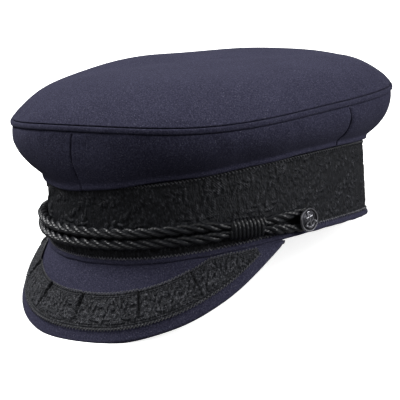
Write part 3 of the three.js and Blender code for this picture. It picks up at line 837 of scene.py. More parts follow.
def band_braid(u, v):
    """The figured braid round the band: its face, its two edges and its plain back."""
    band = cap().band
    turn_at, around = band_turns()
    bottom = band.hem_strip
    top = band.height - GAP
    width = top - bottom
    face_share = 0.92
    up = part_way(v, 0, face_share) * width
    back = part_way(v, face_share, 1)
    is_face = (v <= face_share + 1e-9).astype(float)
    from_edge = np.minimum(up, width - up)
    figure = sprig_figure(u * around, up, width, around / band.repeats)
    lines = selvage(u * around, from_edge, around / round(around / LINE_PITCH))
    leaves, relief = weave(figure, lines, from_edge)
    rounding = edge_round(from_edge, depth=0.3 * MM)
    out = band.relief * (relief - FACE_LEVEL) * is_face - rounding
    first = out[0, 0]
    on_back = (back > 0) & (back < 1)
    out = np.where(on_back, -band.braid, out)
    height = np.where(on_back, lerp(top, bottom, np.round(back)), bottom + up)
    height = np.where(v >= 1, bottom, height)
    out = np.where(v >= 1, first, out)
    return {
        "points": band_point(turn_at(u), out, height),
        "cloth": np.stack([u * around, up], -1),
        "figure": leaves * is_face,
        # Lightens the braid's colour where the relief stands high: partly the raised threads, partly
        # painted shade in the grooves. Held lower here than on the peak, so the band braid is painted
        # darker than the same braid there: painted shade
        "relief": 0.45 * relief * is_face,
    }


def edge_loops(path, pale):
    """The shape of a thin thread that coils along a braid's edge, showing as small loops.

    path(share) gives the line that it follows, two directions square to it, and its length.
    pale says how bright the loops are, from 0 to 1: partly the pale thread, partly painted light on an
    edge that lies in shade.
    """
    step, radius, thread, loops_out = 2.2 * MM, 0.62 * MM, 0.3 * MM, 0.55

    def shape(u, v):
        line, side, up, length = path(u)
        phase = TAU * u * round(length / step)
        round_thread = TAU * v
        reach = radius + thread * np.cos(round_thread)
        points = line + times(side, reach * np.sin(phase) * loops_out)
        points += times(up, reach * np.cos(phase))
        along = np.gradient(line, axis=1)
        points += times(unit(along), thread * np.sin(round_thread))
        cloth = np.stack([u * length, v * TAU * thread], -1)
        return {"points": points, "cloth": cloth, "pale": np.full_like(u, pale)}

    return shape


def band_edge_path(height, out):
    """The line of the band braid's edge at one height, for its loops."""

    def path(u):
        turn_at, around = band_turns()
        turn = turn_at(u)
        line = band_point(turn, out, height)
        return line, band_outward(turn), stack(0 * u, 0, 1), around

    return path


# Peak


def peak_cloth(u, v):
    """The cloth-covered peak: its face from root to edge, round the edge, and back beneath."""
    peak = cap().peak
    share = np.sin(lerp(-1, 1, u) * QUARTER)
    reach = peak_reach(share)
    face_share, edge_share, back_share = 0.5, 0.62, 0.96
    down = part_way(v, 0, face_share)
    bend = part_way(v, face_share, edge_share) * math.pi
    back = part_way(v, edge_share, back_share)
    radius = peak.wall / 2
    inset = np.minimum(radius, reach / 2)
    along = (down - back) * (reach - inset) + inset * np.sin(bend)
    lift = radius * np.cos(bend) - radius + peak.wall * part_way(v, back_share, 1)
    from_end = 1 - np.abs(share)
    at_root = 1 - smooth_step(along, 0, 3 * MM)
    along = along - EDGE_TUCK * at_root * smooth_step(from_end, 0, 0.02)
    points = peak_point(share, along, lift)
    closing = np.sqrt(smooth_step(from_end, 0, 0.004))
    middle_line = peak_point(share, along, -radius)
    points = middle_line + times(points - middle_line, closing)
    slack = 0.22 * MM * unevenness(points, 34 * MM, seed=51) * smooth_step(along, 0, 6 * MM)
    points += times(normals(points, round_v=True), slack * closing)
    turn = share * peak.half_turn
    return {"points": points, "cloth": np.stack([turn * cap().band.length / 2, along], -1)}


def pleat_lift(turn_degrees, row):
    """How far a pleated braid stands up, from 0 just past one pleat to 1 at the next."""
    peak = cap().peak
    lift = np.zeros_like(turn_degrees)
    start = np.full_like(turn_degrees, -math.degrees(peak.braid_end))
    for inner, outer in PLEATS:
        stop = lerp(inner, outer, row)
        inside = (turn_degrees > start) & (turn_degrees <= stop)
        lift = np.where(inside, part_way(turn_degrees, start, stop) ** peak.pleat_swell, lift)
        start = stop
    return lift


def pleat_fade(row):
    """How much of a pleat is left towards the braid's outer edge."""
    flat_from = 0.88
    return 1 - part_way(row, 0, flat_from)


def pleat_crease(turn_degrees, row):
    """How deep the fold beside a pleat is, 1 at its middle, 0 away from it."""
    past_pleat, half_crease = 0.25, 0.42  # degrees of turn
    depth = np.zeros_like(turn_degrees)
    for inner, outer in PLEATS:
        away = turn_degrees - lerp(inner, outer, row) - past_pleat
        depth = np.maximum(depth, np.exp(-((away / half_crease) ** 2)))
    return depth * pleat_fade(row) ** 0.5


def peak_braid_lines(u):
    """The braid's turn and share of the peak, and where its two edges lie down the slope."""
    peak = cap().peak
    turn = lerp(-peak.braid_end, peak.braid_end, u)
    share = turn / peak.half_turn
    outer = peak_reach(share) - peak.rim
    inner = np.maximum(outer - peak.braid_width, peak.braid)
    return turn, share, [inner, outer]


def peak_braid(u, v):
    """The braid on the peak, laid in pleats that each fall back in a step."""
    peak = cap().peak
    band = cap().band
    turn, share, (inner, outer) = peak_braid_lines(u)
    face_share = 0.9
    is_face = (v <= face_share + 1e-9).astype(float)
    row = np.where(is_face > 0, v / face_share, 1 - part_way(v, face_share, 1))
    along = lerp(inner, outer, row)
    around = turn * (band.length + peak.reach) / 2
    width = peak.braid_width
    from_outer = outer - along
    up = np.clip(width - from_outer, 0, width)
    from_edge = np.minimum(along - inner, from_outer)
    figure_shift, figure_repeat = 400 * MM, 24 * MM
    figure = sprig_figure(around + figure_shift, up, width, figure_repeat)
    leaves, relief = weave(figure, selvage(around, from_edge, LINE_PITCH), from_edge)
    folds = pleat_lift(np.degrees(turn), row) * pleat_fade(row) ** 0.7
    crease = pleat_crease(np.degrees(turn), row) * is_face
    lift = GAP + peak.braid + peak.pleat * folds + band.relief * (relief - FACE_LEVEL)
    lift -= edge_round(from_edge, depth=0.5 * MM)
    lift = np.maximum(lift - peak.crease * crease, 1.5 * GAP)
    lift = np.where(is_face > 0, lift, GAP / 2)
    lift = lerp(GAP / 2, lift, smooth_step(np.minimum(u, 1 - u), 0, 0.006))
    lift = np.where(v >= 1, lift[0], lift)
    return {
        "points": peak_point(share, along, lift),
        "cloth": np.stack([around, up], -1),
        "figure": leaves * is_face,
        # Raised by 0.3, so the peak braid is painted lighter than the same braid on the band, as it faces
        # the lights: painted light; cut in the creases: painted shade
        "relief": (0.3 + relief) * is_face * (1 - crease),
        # crease also darkens the braid's colour: painted shade in the pleats' folds
        "crease": crease,
    }


def peak_edge_path(row):
    """The line of the peak's braid's inner edge, row 0, or outer edge, row 1, for its loops."""

    def path(u):
        peak = cap().peak
        turn, share, edges = peak_braid_lines(u)
        along = edges[row]
        folds = pleat_lift(np.degrees(turn), row) * (1 - row)
        loop_lift = 0.6 * MM
        line = peak_point(share, along, GAP + loop_lift + peak.pleat * folds)
        foot = peak_point(share, along, 0)
        up = unit(peak_point(share, along, 1 * MM) - foot)
        side = unit(peak_point(share, along + 1 * MM, 0) - foot)
        length = np.linalg.norm(np.diff(line[0], axis=0), axis=-1).sum()
        return line, up, side, length

    return path


# Chin cord


def cord_height(turn_degrees):
    """Height of the line midway between the two runs."""
    turns, heights = zip(*CORD_ROUTE)
    return np.interp(np.abs(turn_degrees), turns, heights)


def inside_slider(turn_degrees):
    """1 inside a slider, falling to 0 a little way outside it."""
    cord = cap().cord
    margin, fall = 0.5, 3  # degrees of turn past the slider's end
    away = np.abs(np.abs(turn_degrees) - math.degrees(cord.slider_turn))
    start = math.degrees(cord.slider_length / cap().band.width) + margin
    return 1 - smooth_step(away, start, start + fall)


def cord_size(turn_degrees):
    """The cord is pressed smaller inside the sliders and round the shanks."""
    cord = cap().cord
    margin, fall = 5, 4  # degrees of turn before the shank
    end = math.degrees(cap().button.turn) - margin
    near_shank = smooth_step(np.abs(turn_degrees), end - fall, end)
    in_slider = (1 - cord.slider_pinch) * inside_slider(turn_degrees)
    return 1 - in_slider - (1 - cord.shank_pinch) * near_shank


def cord_out(turn_degrees):
    """How far the middle of the cord stands out from the braid."""
    cord = cap().cord
    wall = (cord.slider_wall + GAP) * inside_slider(turn_degrees)
    return GAP + wall + cord.diameter / 2 * cord_size(turn_degrees)


def cord_stations():
    """Points of the closed loop: above the peak, round one shank, back below, round the other."""
    cord, button = cap().cord, cap().button
    turns = [turn for turn, _ in CORD_ROUTE]
    across = np.array([-turn for turn in reversed(turns[1:])] + turns, float)
    loop_radius = button.shank / 2 + GAP + cord.diameter / 2 * cord.shank_pinch
    around_shank = np.radians([-90, -45, 0, 45, 90])

    def run(side, order):
        height = cord_height(order) + side * cord.spacing * cord_size(order) / 2
        return band_point(np.radians(order), cord_out(order), height)

    def bend(side):
        sideways = loop_radius * np.cos(around_shank) * side / (cap().band.width / 2)
        height = button.height - side * loop_radius * np.sin(around_shank)
        out = GAP + cord.diameter / 2 * cord.shank_pinch
        return band_point(button.turn * side + sideways, out, height)

    return np.concatenate([run(1, across), bend(1), run(-1, across[::-1]), bend(-1)])


def closed_spline(stations, steps):
    """Evenly spaced points of a smooth closed curve through the stations, and its length.

    The last point lies on the first.
    """
    dense = []
    total = len(stations)
    for i in range(total):
        p = [stations[(i + k) % total] for k in (-1, 0, 1, 2)]
        knots = np.cumsum([0] + [math.sqrt(np.linalg.norm(b - a)) for a, b in zip(p, p[1:])])
        t = np.linspace(knots[1], knots[2], 24, endpoint=False)[:, None]

        def blend(a, b, low, high):
            return ((knots[high] - t) * a + (t - knots[low]) * b) / (knots[high] - knots[low])

        a = [blend(p[k], p[k + 1], k, k + 1) for k in range(3)]
        b = [blend(a[k], a[k + 1], k, k + 2) for k in range(2)]
        dense.append(blend(b[0], b[1], 1, 2))
    dense = np.concatenate(dense)
    dense = np.concatenate([dense, dense[:1]])
    arc = np.concatenate([[0], np.cumsum(np.linalg.norm(np.diff(dense, axis=0), axis=-1))])
    shares = np.linspace(0, arc[-1], steps + 1)
    return np.stack([np.interp(shares, arc, dense[:, k]) for k in range(3)], -1), arc[-1]


def turn_of(points):
    """The turn, in degrees, at which points beside the band lie."""
    band = cap().band
    power = band.squareness / 2
    x = signed_power(points[..., 0] / band.width, power)
    y = signed_power(-points[..., 1] / band.length, power)
    return np.degrees(np.arctan2(x, y))


def cord_strand(number_of_strand):
    """The shape of one strand of the cord, winding round the cord's middle."""

    def shape(u, v):
        cord = cap().cord
        steps = u.shape[1] - 1
        middle, length = closed_spline(cord_stations(), steps)
        turn_degrees = turn_of(middle)
        outward = band_outward(np.radians(turn_degrees))
        along = unit(slope(middle, 0, True))
        side = unit(np.cross(outward, along))
        over = unit(np.cross(along, side))
        twists = round(length / cord.lay)
        phase = TAU * (u * twists + number_of_strand / cord.strands)
        radius = cord.diameter / 2 * cord_size(turn_degrees)
        strand = 0.5 * radius
        round_strand = TAU * v
        across = 0.5 * radius * np.cos(phase) + strand * np.cos(round_strand)
        above = 0.5 * radius * np.sin(phase) + strand * np.sin(round_strand)
        points = middle + times(side, across) + times(over, above)
        return {"points": points, "cloth": np.stack([u * length, v * cord.diameter], -1)}

    return shape


def slider_wrap(side, share, phase, depth, shift=0.0):
    """Points round a slider: "share" along it, -1 to 1, and "depth" outside the cord's two runs."""
    cord = cap().cord
    squeezed = cord.diameter / 2 * cord.slider_pinch
    half_out = squeezed + GAP + depth
    half_tall = cord.spacing * cord.slider_pinch / 2 + squeezed + GAP + depth
    along = share * (cord.slider_length - cord.slider_thread) / 2 + shift
    turn = side * (cord.slider_turn + along / (cap().band.width / 2))
    out = cord_out(np.full_like(phase, math.degrees(cord.slider_turn))) + half_out * np.cos(phase)
    height = cord_height(np.degrees(turn)) - half_tall * np.sin(phase)
    return band_point(turn, out, height)


def slider_wall_at(share):
    """The slider's thickness, less at its two ends."""
    cord = cap().cord
    return lerp(cord.slider_wall, cord.slider_end_wall, share**4)


def slider_windings(side):
    """The shape of a slider's thread, wound round both runs of the cord."""

    def shape(u, v):
        cord = cap().cord
        radius = cord.slider_thread / 2
        share = lerp(-1, 1, u)
        phase = TAU * u * cord.slider_turns
        end_share = 0.008
        closing = np.sqrt(part_way(np.minimum(u, 1 - u), 0, end_share))
        depth = slider_wall_at(share) - radius + radius * np.cos(TAU * v) * closing
        points = slider_wrap(side, share, phase, depth, radius * np.sin(TAU * v) * closing)
        one_turn = 36 * MM
        length = one_turn * cord.slider_turns
        return {"points": points, "cloth": np.stack([u * length, v * TAU * radius], -1)}

    return shape


def slider_core(side):
    """The shape of the dark sleeve under those windings."""

    def shape(u, v):
        reach, end_depth = 1.12, -3.4 * MM
        place = lerp(-reach, reach, v)
        share = np.clip(place, -1, 1)
        closing = part_way(np.abs(place), 1, reach)
        depth = slider_wall_at(share) - 0.6 * cap().cord.slider_thread
        depth = lerp(depth, end_depth, closing)
        points = slider_wrap(side, share, TAU * u, depth)
        return {"points": points, "cloth": np.stack([u, v], -1) * 30 * MM}

    return shape


# Buttons


def select_top_face(piece):
    """Selects the active piece's highest face that looks up, and nothing else."""
    bpy.ops.object.mode_set(mode="OBJECT")
    faces = piece.data.polygons
    for item in [*piece.data.vertices, *piece.data.edges, *faces]:
        item.select = False
    max(faces, key=lambda face: face.center.z + face.normal.z).select = True
    bpy.ops.object.mode_set(mode="EDIT")
    bpy.ops.mesh.select_mode(type="FACE")


def button_head():
    """A button with its axis along Z: the shank, drawn out into the rimmed and domed head."""
    button, cord = cap().button, cap().cord
    under = 2 * GAP + cord.diameter * cord.shank_pinch
    radius = button.diameter / 2
    piece = add_part(bpy.ops.mesh.primitive_cylinder_add, vertices=72, radius=button.shank / 2,
                     depth=under, location=(0, 0, under / 2))
    select_top_face(piece)
    last_radius, last_height = button.shank / 2, 0.0
    for radius_share, height_share in BUTTON_PROFILE:
        new_radius, new_height = radius * radius_share, button.edge * height_share
        bpy.ops.mesh.extrude_region_move(
            TRANSFORM_OT_translate={"value": (0, 0, new_height - last_height)}
        )
        scale = new_radius / last_radius
        bpy.ops.transform.resize(value=(scale, scale, 1))
        last_radius, last_height = new_radius, new_height
    bpy.ops.object.mode_set(mode="OBJECT")
    return piece, under + button.edge * BUTTON_PROFILE[-1][1]


def mark_raised(piece, is_raised):
    """Stores which points of a button part stand up, 0 to 1, for its finish."""
    layer = piece.data.attributes.new("raised", "FLOAT", "POINT")
    layer.data.foreach_set("value", [float(is_raised(vertex.co)) for vertex in piece.data.vertices])


def anchor_parts(ground):
    """The raised anchor: ring, stock, shank, curved arms, flukes, and the rope round it."""
    half = cap().button.anchor / 2
    line = cap().button.line / 2
    arm = 0.68 * half
    arm_height = arm - half

    def ring(radius, thick, segments, sides, x, y, z=0.0):
        return add_part(bpy.ops.mesh.primitive_torus_add, major_radius=radius, minor_radius=thick,
                        major_segments=segments, minor_segments=sides, location=(x, y, ground + z))

    def bar(radius, length, y, **turn):
        return add_part(bpy.ops.mesh.primitive_cylinder_add, vertices=12, radius=radius, depth=length,
                        location=(0, y, ground), **turn)

    parts = [
        ring(1.6 * line, 0.7 * line, 20, 8, 0, half - 1.7 * line),
        bar(line, 1.5 * half, -0.12 * half, rotation=(QUARTER, 0, 0)),
        bar(0.85 * line, 1.05 * half, 0.36 * half, rotation=(0, QUARTER, 0)),
        ring(arm, line, 40, 10, 0, 0.85 * line + arm_height),
    ]
    bpy.ops.object.mode_set(mode="EDIT")
    bpy.ops.mesh.select_all(action="SELECT")
    bpy.ops.mesh.bisect(plane_co=(0, arm_height - 0.2 * arm, ground), plane_no=(0, 1, 0),
                        use_fill=True, clear_outer=True)
    bpy.ops.object.mode_set(mode="OBJECT")
    for side in (-1, 1):
        parts.append(add_part(
            bpy.ops.mesh.primitive_cone_add, vertices=12, radius1=1.9 * line, radius2=0.2 * line,
            depth=2.6 * line, rotation=(-QUARTER, 0, side * math.radians(28)),
            location=(side * 0.97 * arm, 1.1 * line + 0.72 * arm - half, ground)))
        rope_x, rope_y = 0.26 * side * half, (0.24 * side - 0.2) * half
        parts.append(ring(0.3 * half, 0.4 * line, 24, 6, rope_x, rope_y, 0.3 * line))
    for part in parts:
        mark_raised(part, lambda point: point.z > ground + 0.2 * line)
    return parts


def button(name, side):
    """One button, its axis straight out of the band."""
    button = cap().button
    head, ground = button_head()
    mark_raised(head, lambda point: math.hypot(point.x, point.y) > 0.43 * button.diameter)
    join_parts([head, *anchor_parts(ground - 0.3 * MM)], name)
    turn = side * button.turn
    outward = Vector(band_outward(np.float64(turn)))
    place = looking(outward, Vector((0, 0, 1)), Vector(band_point(turn, GAP, button.height)))
    head.data.transform(standing() @ place @ Matrix.Rotation(button.anchor_turn, 4, "Z"))
    bpy.ops.object.shade_smooth_by_angle(angle=math.radians(35))
    return head


# Finishes


class Finish:
    """A material's node tree, with short calls to add and join nodes."""

    def __init__(self, name):
        self.material = bpy.data.materials.new(name)
        self.material.use_nodes = True
        self.nodes = self.material.node_tree.nodes
        self.links = self.material.node_tree.links
        self.shader = self.nodes["Principled BSDF"]
        self.place = self.add("TexCoord").outputs["Object"]

    def add(self, kind, inputs=None, **settings):
        """Adds a node. An input is a value, or the output of another node."""
        node = self.nodes.new("ShaderNode" + kind)
        for key, value in settings.items():
            setattr(node, key, value)
        for key, value in (inputs or {}).items():
            self.set(node, key, value)
        return node

    def set(self, node, key, value):
        """Gives one input of a node its value, or a link from another node."""
        if isinstance(value, bpy.types.NodeSocket):
            self.links.new(value, node.inputs[key])
        else:
            node.inputs[key].default_value = value

    def sum(self, operation, a, b=0.0, limit=False):
        """One step of arithmetic. With a limit, its result stays between 0 and 1."""
        return self.add("Math", {0: a, 1: b}, operation=operation, use_clamp=limit).outputs[0]

    def plus(self, a, b, limit=False):
        """a plus b."""
        return self.sum("ADD", a, b, limit)

    def times(self, a, b, limit=False):
        """a times b."""
        return self.sum("MULTIPLY", a, b, limit)

    def noise(self, scale, detail=3.0, roughness=0.6, where=None):
        """Noise through the object, with so many lumps in a metre."""
        where = self.place if where is None else where
        inputs = {"Vector": where, "Scale": scale, "Detail": detail, "Roughness": roughness}
        return self.add("TexNoise", inputs).outputs["Fac"]

    def wave(self, value, length):
        """A smooth ridge, 0 to 1, that repeats along a value with the given length."""
        return self.plus(self.times(self.sum("SINE", self.times(value, TAU / length)), 0.5), 0.5)

    def stored(self, name):
        """A value that the piece's mesh holds."""
        return self.add("Attribute", attribute_name=name).outputs["Fac"]

    def cloth(self):
        """The place on the flat material, along it and across it."""
        split = self.add("SeparateXYZ", {0: self.add("UVMap").outputs[0]})
        return split.outputs[0], split.outputs[1]

    def blend(self, share, a, b):
        """A colour that goes from a to b with the share."""
        return self.add("Mix", {0: share, 6: a, 7: b}, data_type="RGBA").outputs[2]

    def between(self, value, low, high):
        """0 below low, 1 above high, and even between them."""
        return self.add("MapRange", {"Value": value, "From Min": low, "From Max": high}).outputs[0]

    def bump(self, height, distance, strength=1.0):
        """Raises the surface's look by a height of 0 to 1 times the distance."""
        node = self.add("Bump", {"Height": height, "Distance": distance, "Strength": strength})
        self.set(self.shader, "Normal", node.outputs[0])

    def shade(self, **values):
        """Sets inputs of the shader, with _ for each space in their names."""
        for key, value in values.items():
            self.set(self.shader, key.replace("_", " "), value)


def opaque(rgb, strength=1.0):
    """A colour for a node's input."""
    return (*(strength * part for part in rgb), 1.0)


def wool_finish(finish, colours):
    """Milled navy wool: a short nap, flecks of lighter fibre, and a soft sheen."""
    nap = finish.noise(2000.0, 2.0, 0.7)
    fleck = finish.noise(1150.0, 2.0, 0.65)
    cloud = finish.noise(30.0, 3.0, 0.5)
    lint = finish.between(finish.noise(1500.0, 1.0, 0.5), 0.64, 0.74)
    light = finish.times(finish.between(fleck, 0.4, 0.72), 0.7)
    light = finish.plus(light, finish.times(finish.between(cloud, 0.35, 0.75), 0.12))
    base = finish.blend(light, opaque(colours.wool), opaque(colours.wool_fleck))
    base = finish.blend(finish.times(lint, 0.6), base, opaque(colours.lint))
    finish.shade(Base_Color=base, Roughness=0.95, Specular_IOR_Level=0.06, Sheen_Weight=0.03,
                 Sheen_Roughness=0.5, Sheen_Tint=(0.6, 0.6, 0.9, 1.0))
    finish.bump(finish.plus(finish.times(nap, 0.7), finish.times(fleck, 0.8)), 0.4 * MM, 0.7)


def braid_finish(finish, colours):
    """Black figured braid: ribbed ground and satin leaves, with painted highlights (glints) on the raised
    threads, and painted shade in the pleats' creases and the relief's grooves.
    """
    along, up = finish.cloth()
    figure, relief, crease = [finish.stored(name) for name in ("figure", "relief", "crease")]
    upright = {0: finish.place, 1: (1.0, 1.0, 0.5)}
    drawn = finish.add("VectorMath", upright, operation="MULTIPLY").outputs[0]
    speck = finish.noise(1100.0, 2.0, 0.7)
    thread = finish.between(finish.noise(620.0, 3.0, 0.7, where=drawn), 0.36, 0.64)
    slant = finish.plus(finish.plus(along, up), finish.times(speck, 1.6 * MM))
    satin = finish.wave(slant, 1.5 * MM)
    leaf_share = finish.times(finish.between(figure, 0.05, 0.25), 0.6)
    woven = finish.add("Mix", {0: leaf_share, 2: thread, 3: satin}, data_type="FLOAT").outputs[0]
    # Painted highlight: sparse glints of the raised threads, lit up in the colour itself
    glint = finish.between(finish.noise(900.0, 2.0, 0.6, where=drawn), 0.5, 0.7)
    glint = finish.sum("POWER", glint, 1.5)
    # Lighter where the relief stands high: partly the raised threads, partly painted shade in the grooves
    # and painted light on the peak
    light = finish.plus(finish.times(woven, 0.45), finish.times(relief, 0.4))
    light = finish.plus(light, finish.times(glint, finish.plus(relief, 0.5)), limit=True)
    # Painted shade: the colour darkens in the creases beside the pleats
    light = finish.times(light, finish.sum("SUBTRACT", 1.0, crease), limit=True)
    # The glints also blend the colour towards braid_glint: a painted highlight
    bright = finish.times(glint, finish.plus(relief, 0.2), limit=True)
    base = finish.blend(light, opaque(colours.braid), opaque(colours.braid_thread))
    base = finish.blend(bright, base, opaque(colours.braid_glint))
    rough = finish.sum("SUBTRACT", 0.56, finish.times(light, 0.16))
    finish.shade(Base_Color=base, Roughness=rough, Specular_IOR_Level=0.13)
    finish.bump(finish.plus(woven, finish.times(speck, 0.6)), 0.5 * MM, 0.8)


def edging_finish(finish, colours):
    """The paler loops of thread along the edges of the braid, paler still by their 'pale' value, which is
    partly painted light.
    """
    speck = finish.noise(500.0)
    # The 'pale' value is partly painted light: higher on an edge in shade
    share = finish.times(finish.between(speck, 0.42, 0.58), finish.stored("pale"))
    base = finish.blend(share, opaque(colours.braid_thread), opaque(colours.edging))
    finish.shade(Base_Color=base, Roughness=0.5, Specular_IOR_Level=0.6)
    finish.bump(speck, 0.1 * MM, 0.6)


def cord_finish(finish, colours):
    """Black silky cord: fine yarns that run along each strand."""
    along, around = finish.cloth()
    yarn = finish.wave(finish.plus(around, finish.times(along, 0.3)), 0.75 * MM)
    speck = finish.noise(700.0)
    base = finish.blend(finish.times(yarn, speck), opaque(colours.cord), opaque(colours.cord_yarn))
    rough = finish.plus(0.2, finish.times(speck, 0.2))
    finish.shade(Base_Color=base, Roughness=rough, Specular_IOR_Level=0.29)
    finish.bump(finish.plus(yarn, finish.times(speck, 0.4)), 0.16 * MM, 0.7)


def metal_finish(finish, colours):
    """Dark plated metal: black in its hollows and rubbed bright on what stands up."""
    scuff = finish.noise(600.0, 4.0, 0.65)
    cloud = finish.between(finish.noise(300.0, 2.0, 0.5), 0.35, 0.7)
    rubbed = finish.plus(finish.times(finish.stored("raised"), 0.7), finish.times(cloud, 0.3))
    base = finish.blend(rubbed, opaque(colours.metal), opaque(colours.metal_worn))
    rough = finish.plus(0.26, finish.times(scuff, 0.25))
    finish.shade(Base_Color=base, Roughness=rough, Metallic=1.0)
    finish.bump(scuff, 0.08 * MM, 0.5)


def floor_finish(finish, colours):
    """A plain pale floor with a trace of unevenness."""
    cloud = finish.between(finish.noise(3.0), 0.2, 0.8)
    base = finish.blend(cloud, opaque(colours.floor, 0.985), opaque(colours.floor))
    finish.shade(Base_Color=base, Roughness=0.8, Specular_IOR_Level=0.2,
                 Emission_Color=opaque((1, 1, 1)), Emission_Strength=0.82)


# Each material: what makes it, and the slot of the record that it belongs to
FINISHES = {
    "navy_wool": (wool_finish, "wool"),
    "black_braid": (braid_finish, "braid"),
    "braid_edging": (edging_finish, "braid"),
    "black_cord": (cord_finish, "cord"),
    "dark_metal": (metal_finish, "metal"),
    "pale_floor": (floor_finish, None),
}


def material(name):
    """The named material, made the first time that a piece asks for it."""
    if name not in bpy.data.materials:
        FINISHES[name][0](Finish(name), cap().colours)
    return bpy.data.materials[name]


# Operators


class CAP_OT_top_panel(bpy.types.Operator):
    """Models the domed top panel of the crown"""

    bl_idname = "cap.top_panel"
    bl_label = "Top panel"

    def execute(self, context):
        piece = grid_piece("top_cloth", top_panel, columns=300, rows=90, wall=cap().crown.wall)
        finish_piece(piece, "navy_wool", "crown_top")
        return {"FINISHED"}


class CAP_OT_welt(bpy.types.Operator):
    """Models the welt between the top and the sides"""

    bl_idname = "cap.welt"
    bl_label = "Welt"

    def execute(self, context):
        piece = grid_piece("welt_cloth", welt_strip, columns=800, rows=22)
        finish_piece(piece, "navy_wool", "crown_welt")
        return {"FINISHED"}


class CAP_OT_side_panels(bpy.types.Operator):
    """Models the four side panels of the crown"""

    bl_idname = "cap.side_panels"
    bl_label = "Side panels"

    def execute(self, context):
        for quarter, name in enumerate(SIDE_NAMES):
            piece = grid_piece("side_cloth_" + name, side_panel(quarter), columns=150, rows=56,
                               closed=False, wall=cap().crown.wall)
            finish_piece(piece, "navy_wool", "crown_side_" + name)
        return {"FINISHED"}


class CAP_OT_head_band(bpy.types.Operator):
    """Models the stiff band and its rolled hem"""

    bl_idname = "cap.head_band"
    bl_label = "Head band"

    def execute(self, context):
        piece = grid_piece("band_cloth", band_cloth, columns=480, rows=60)
        finish_piece(piece, "navy_wool", "head_band")
        return {"FINISHED"}


class CAP_OT_band_braid(bpy.types.Operator):
    """Models the figured braid round the band, and the thread loops along its edges"""

    bl_idname = "cap.band_braid"
    bl_label = "Band braid"

    def execute(self, context):
        piece = grid_piece("band_braid_cloth", band_braid, columns=1060, rows=92)
        finish_piece(piece, "black_braid", "band_braid")
        band = cap().band
        # Height above the hem, how far out of the braid's face, and how pale. The lower edge, in the
        # cord's shadow, is made palest: partly pale thread, partly painted light
        edges = {
            "band_edge_low": (band.hem_strip, 0.15 * MM, 1),
            "band_edge_high": (band.height - 1.2 * MM, -0.25 * MM, 0.25),
        }
        for name, (height, out, pale) in edges.items():
            loops = edge_loops(band_edge_path(height, out), pale)
            piece = grid_piece(name, loops, columns=2800, rows=5)
            finish_piece(piece, "braid_edging")
        return {"FINISHED"}


class CAP_OT_peak(bpy.types.Operator):
    """Models the cloth-covered peak"""

    bl_idname = "cap.peak"
    bl_label = "Peak"

    def execute(self, context):
        piece = grid_piece("peak_cloth", peak_cloth, columns=220, rows=90)
        finish_piece(piece, "navy_wool", "peak")
        return {"FINISHED"}


class CAP_OT_peak_braid(bpy.types.Operator):
    """Models the pleated braid on the peak, and the thread loops along its edges"""

    bl_idname = "cap.peak_braid"
    bl_label = "Peak braid"

    def execute(self, context):
        piece = grid_piece("peak_braid_cloth", peak_braid, columns=760, rows=96)
        finish_piece(piece, "black_braid", "peak_braid")
        for row, name in enumerate(["peak_edge_inner", "peak_edge_outer"]):
            # The peak's edges are lit, so their loops are painted less pale than the band's lower edge
            loops = edge_loops(peak_edge_path(row), pale=0.4)
            piece = grid_piece(name, loops, columns=1300, rows=5)
            finish_piece(piece, "braid_edging")
        return {"FINISHED"}


class CAP_OT_chin_cord(bpy.types.Operator):
    """Models the twisted chin cord, strand by strand"""

    bl_idname = "cap.chin_cord"
    bl_label = "Chin cord"

    def execute(self, context):
        strands = [
            grid_piece(f"strand_{i}", cord_strand(i), columns=760, rows=14)
            for i in range(cap().cord.strands)
        ]
        finish_piece(join_parts(strands, "chin_rope"), "black_cord", "chin_cord")
        return {"FINISHED"}


class CAP_OT_sliders(bpy.types.Operator):
    """Models the two wound sliders on the cord"""

    bl_idname = "cap.sliders"
    bl_label = "Sliders"

    def execute(self, context):
        for name, side in SIDES.items():
            core = grid_piece("slider_core_" + name, slider_core(side), columns=48, rows=24)
            finish_piece(core, "black_cord")
            piece = grid_piece("slider_thread_" + name, slider_windings(side), columns=720, rows=12)
            finish_piece(piece, "black_cord", "cord_slider_" + name)
        return {"FINISHED"}


class CAP_OT_buttons(bpy.types.Operator):
    """Models the two metal buttons with their raised anchors"""

    bl_idname = "cap.buttons"
    bl_label = "Buttons"

    def execute(self, context):
        for name, side in SIDES.items():
            piece = button("anchor_button_" + name, side)
            finish_piece(piece, "dark_metal", "button_" + name)
        return {"FINISHED"}


def add_lights(context):
    """Adds the soft square lights, and the even light all round."""
    for name, place, side, power in LIGHTS:
        light = bpy.data.lights.new(name, "AREA")
        light.shape = "SQUARE"
        light.size = side
        light.energy = power
        lamp = bpy.data.objects.new(name, light)
        context.scene.collection.objects.link(lamp)
        lamp.location = place
        way = Vector(LIGHTS_AIM) - Vector(place)
        lamp.rotation_euler = way.to_track_quat("-Z", "Y").to_euler()
    world = bpy.data.worlds.new("studio")
    world.use_nodes = True
    around = world.node_tree.nodes["Background"].inputs
    around["Color"].default_value = opaque((1, 1, 1))
    around["Strength"].default_value = FILL_LIGHT
    context.scene.world = world


def looking(back, up, place):
    """The matrix of an object at a place whose Z points back and whose Y points nearly up."""
    side = up.cross(back).normalized()
    matrix = Matrix((side, back.cross(side), back)).transposed().to_4x4()
    matrix.translation = place
    return matrix


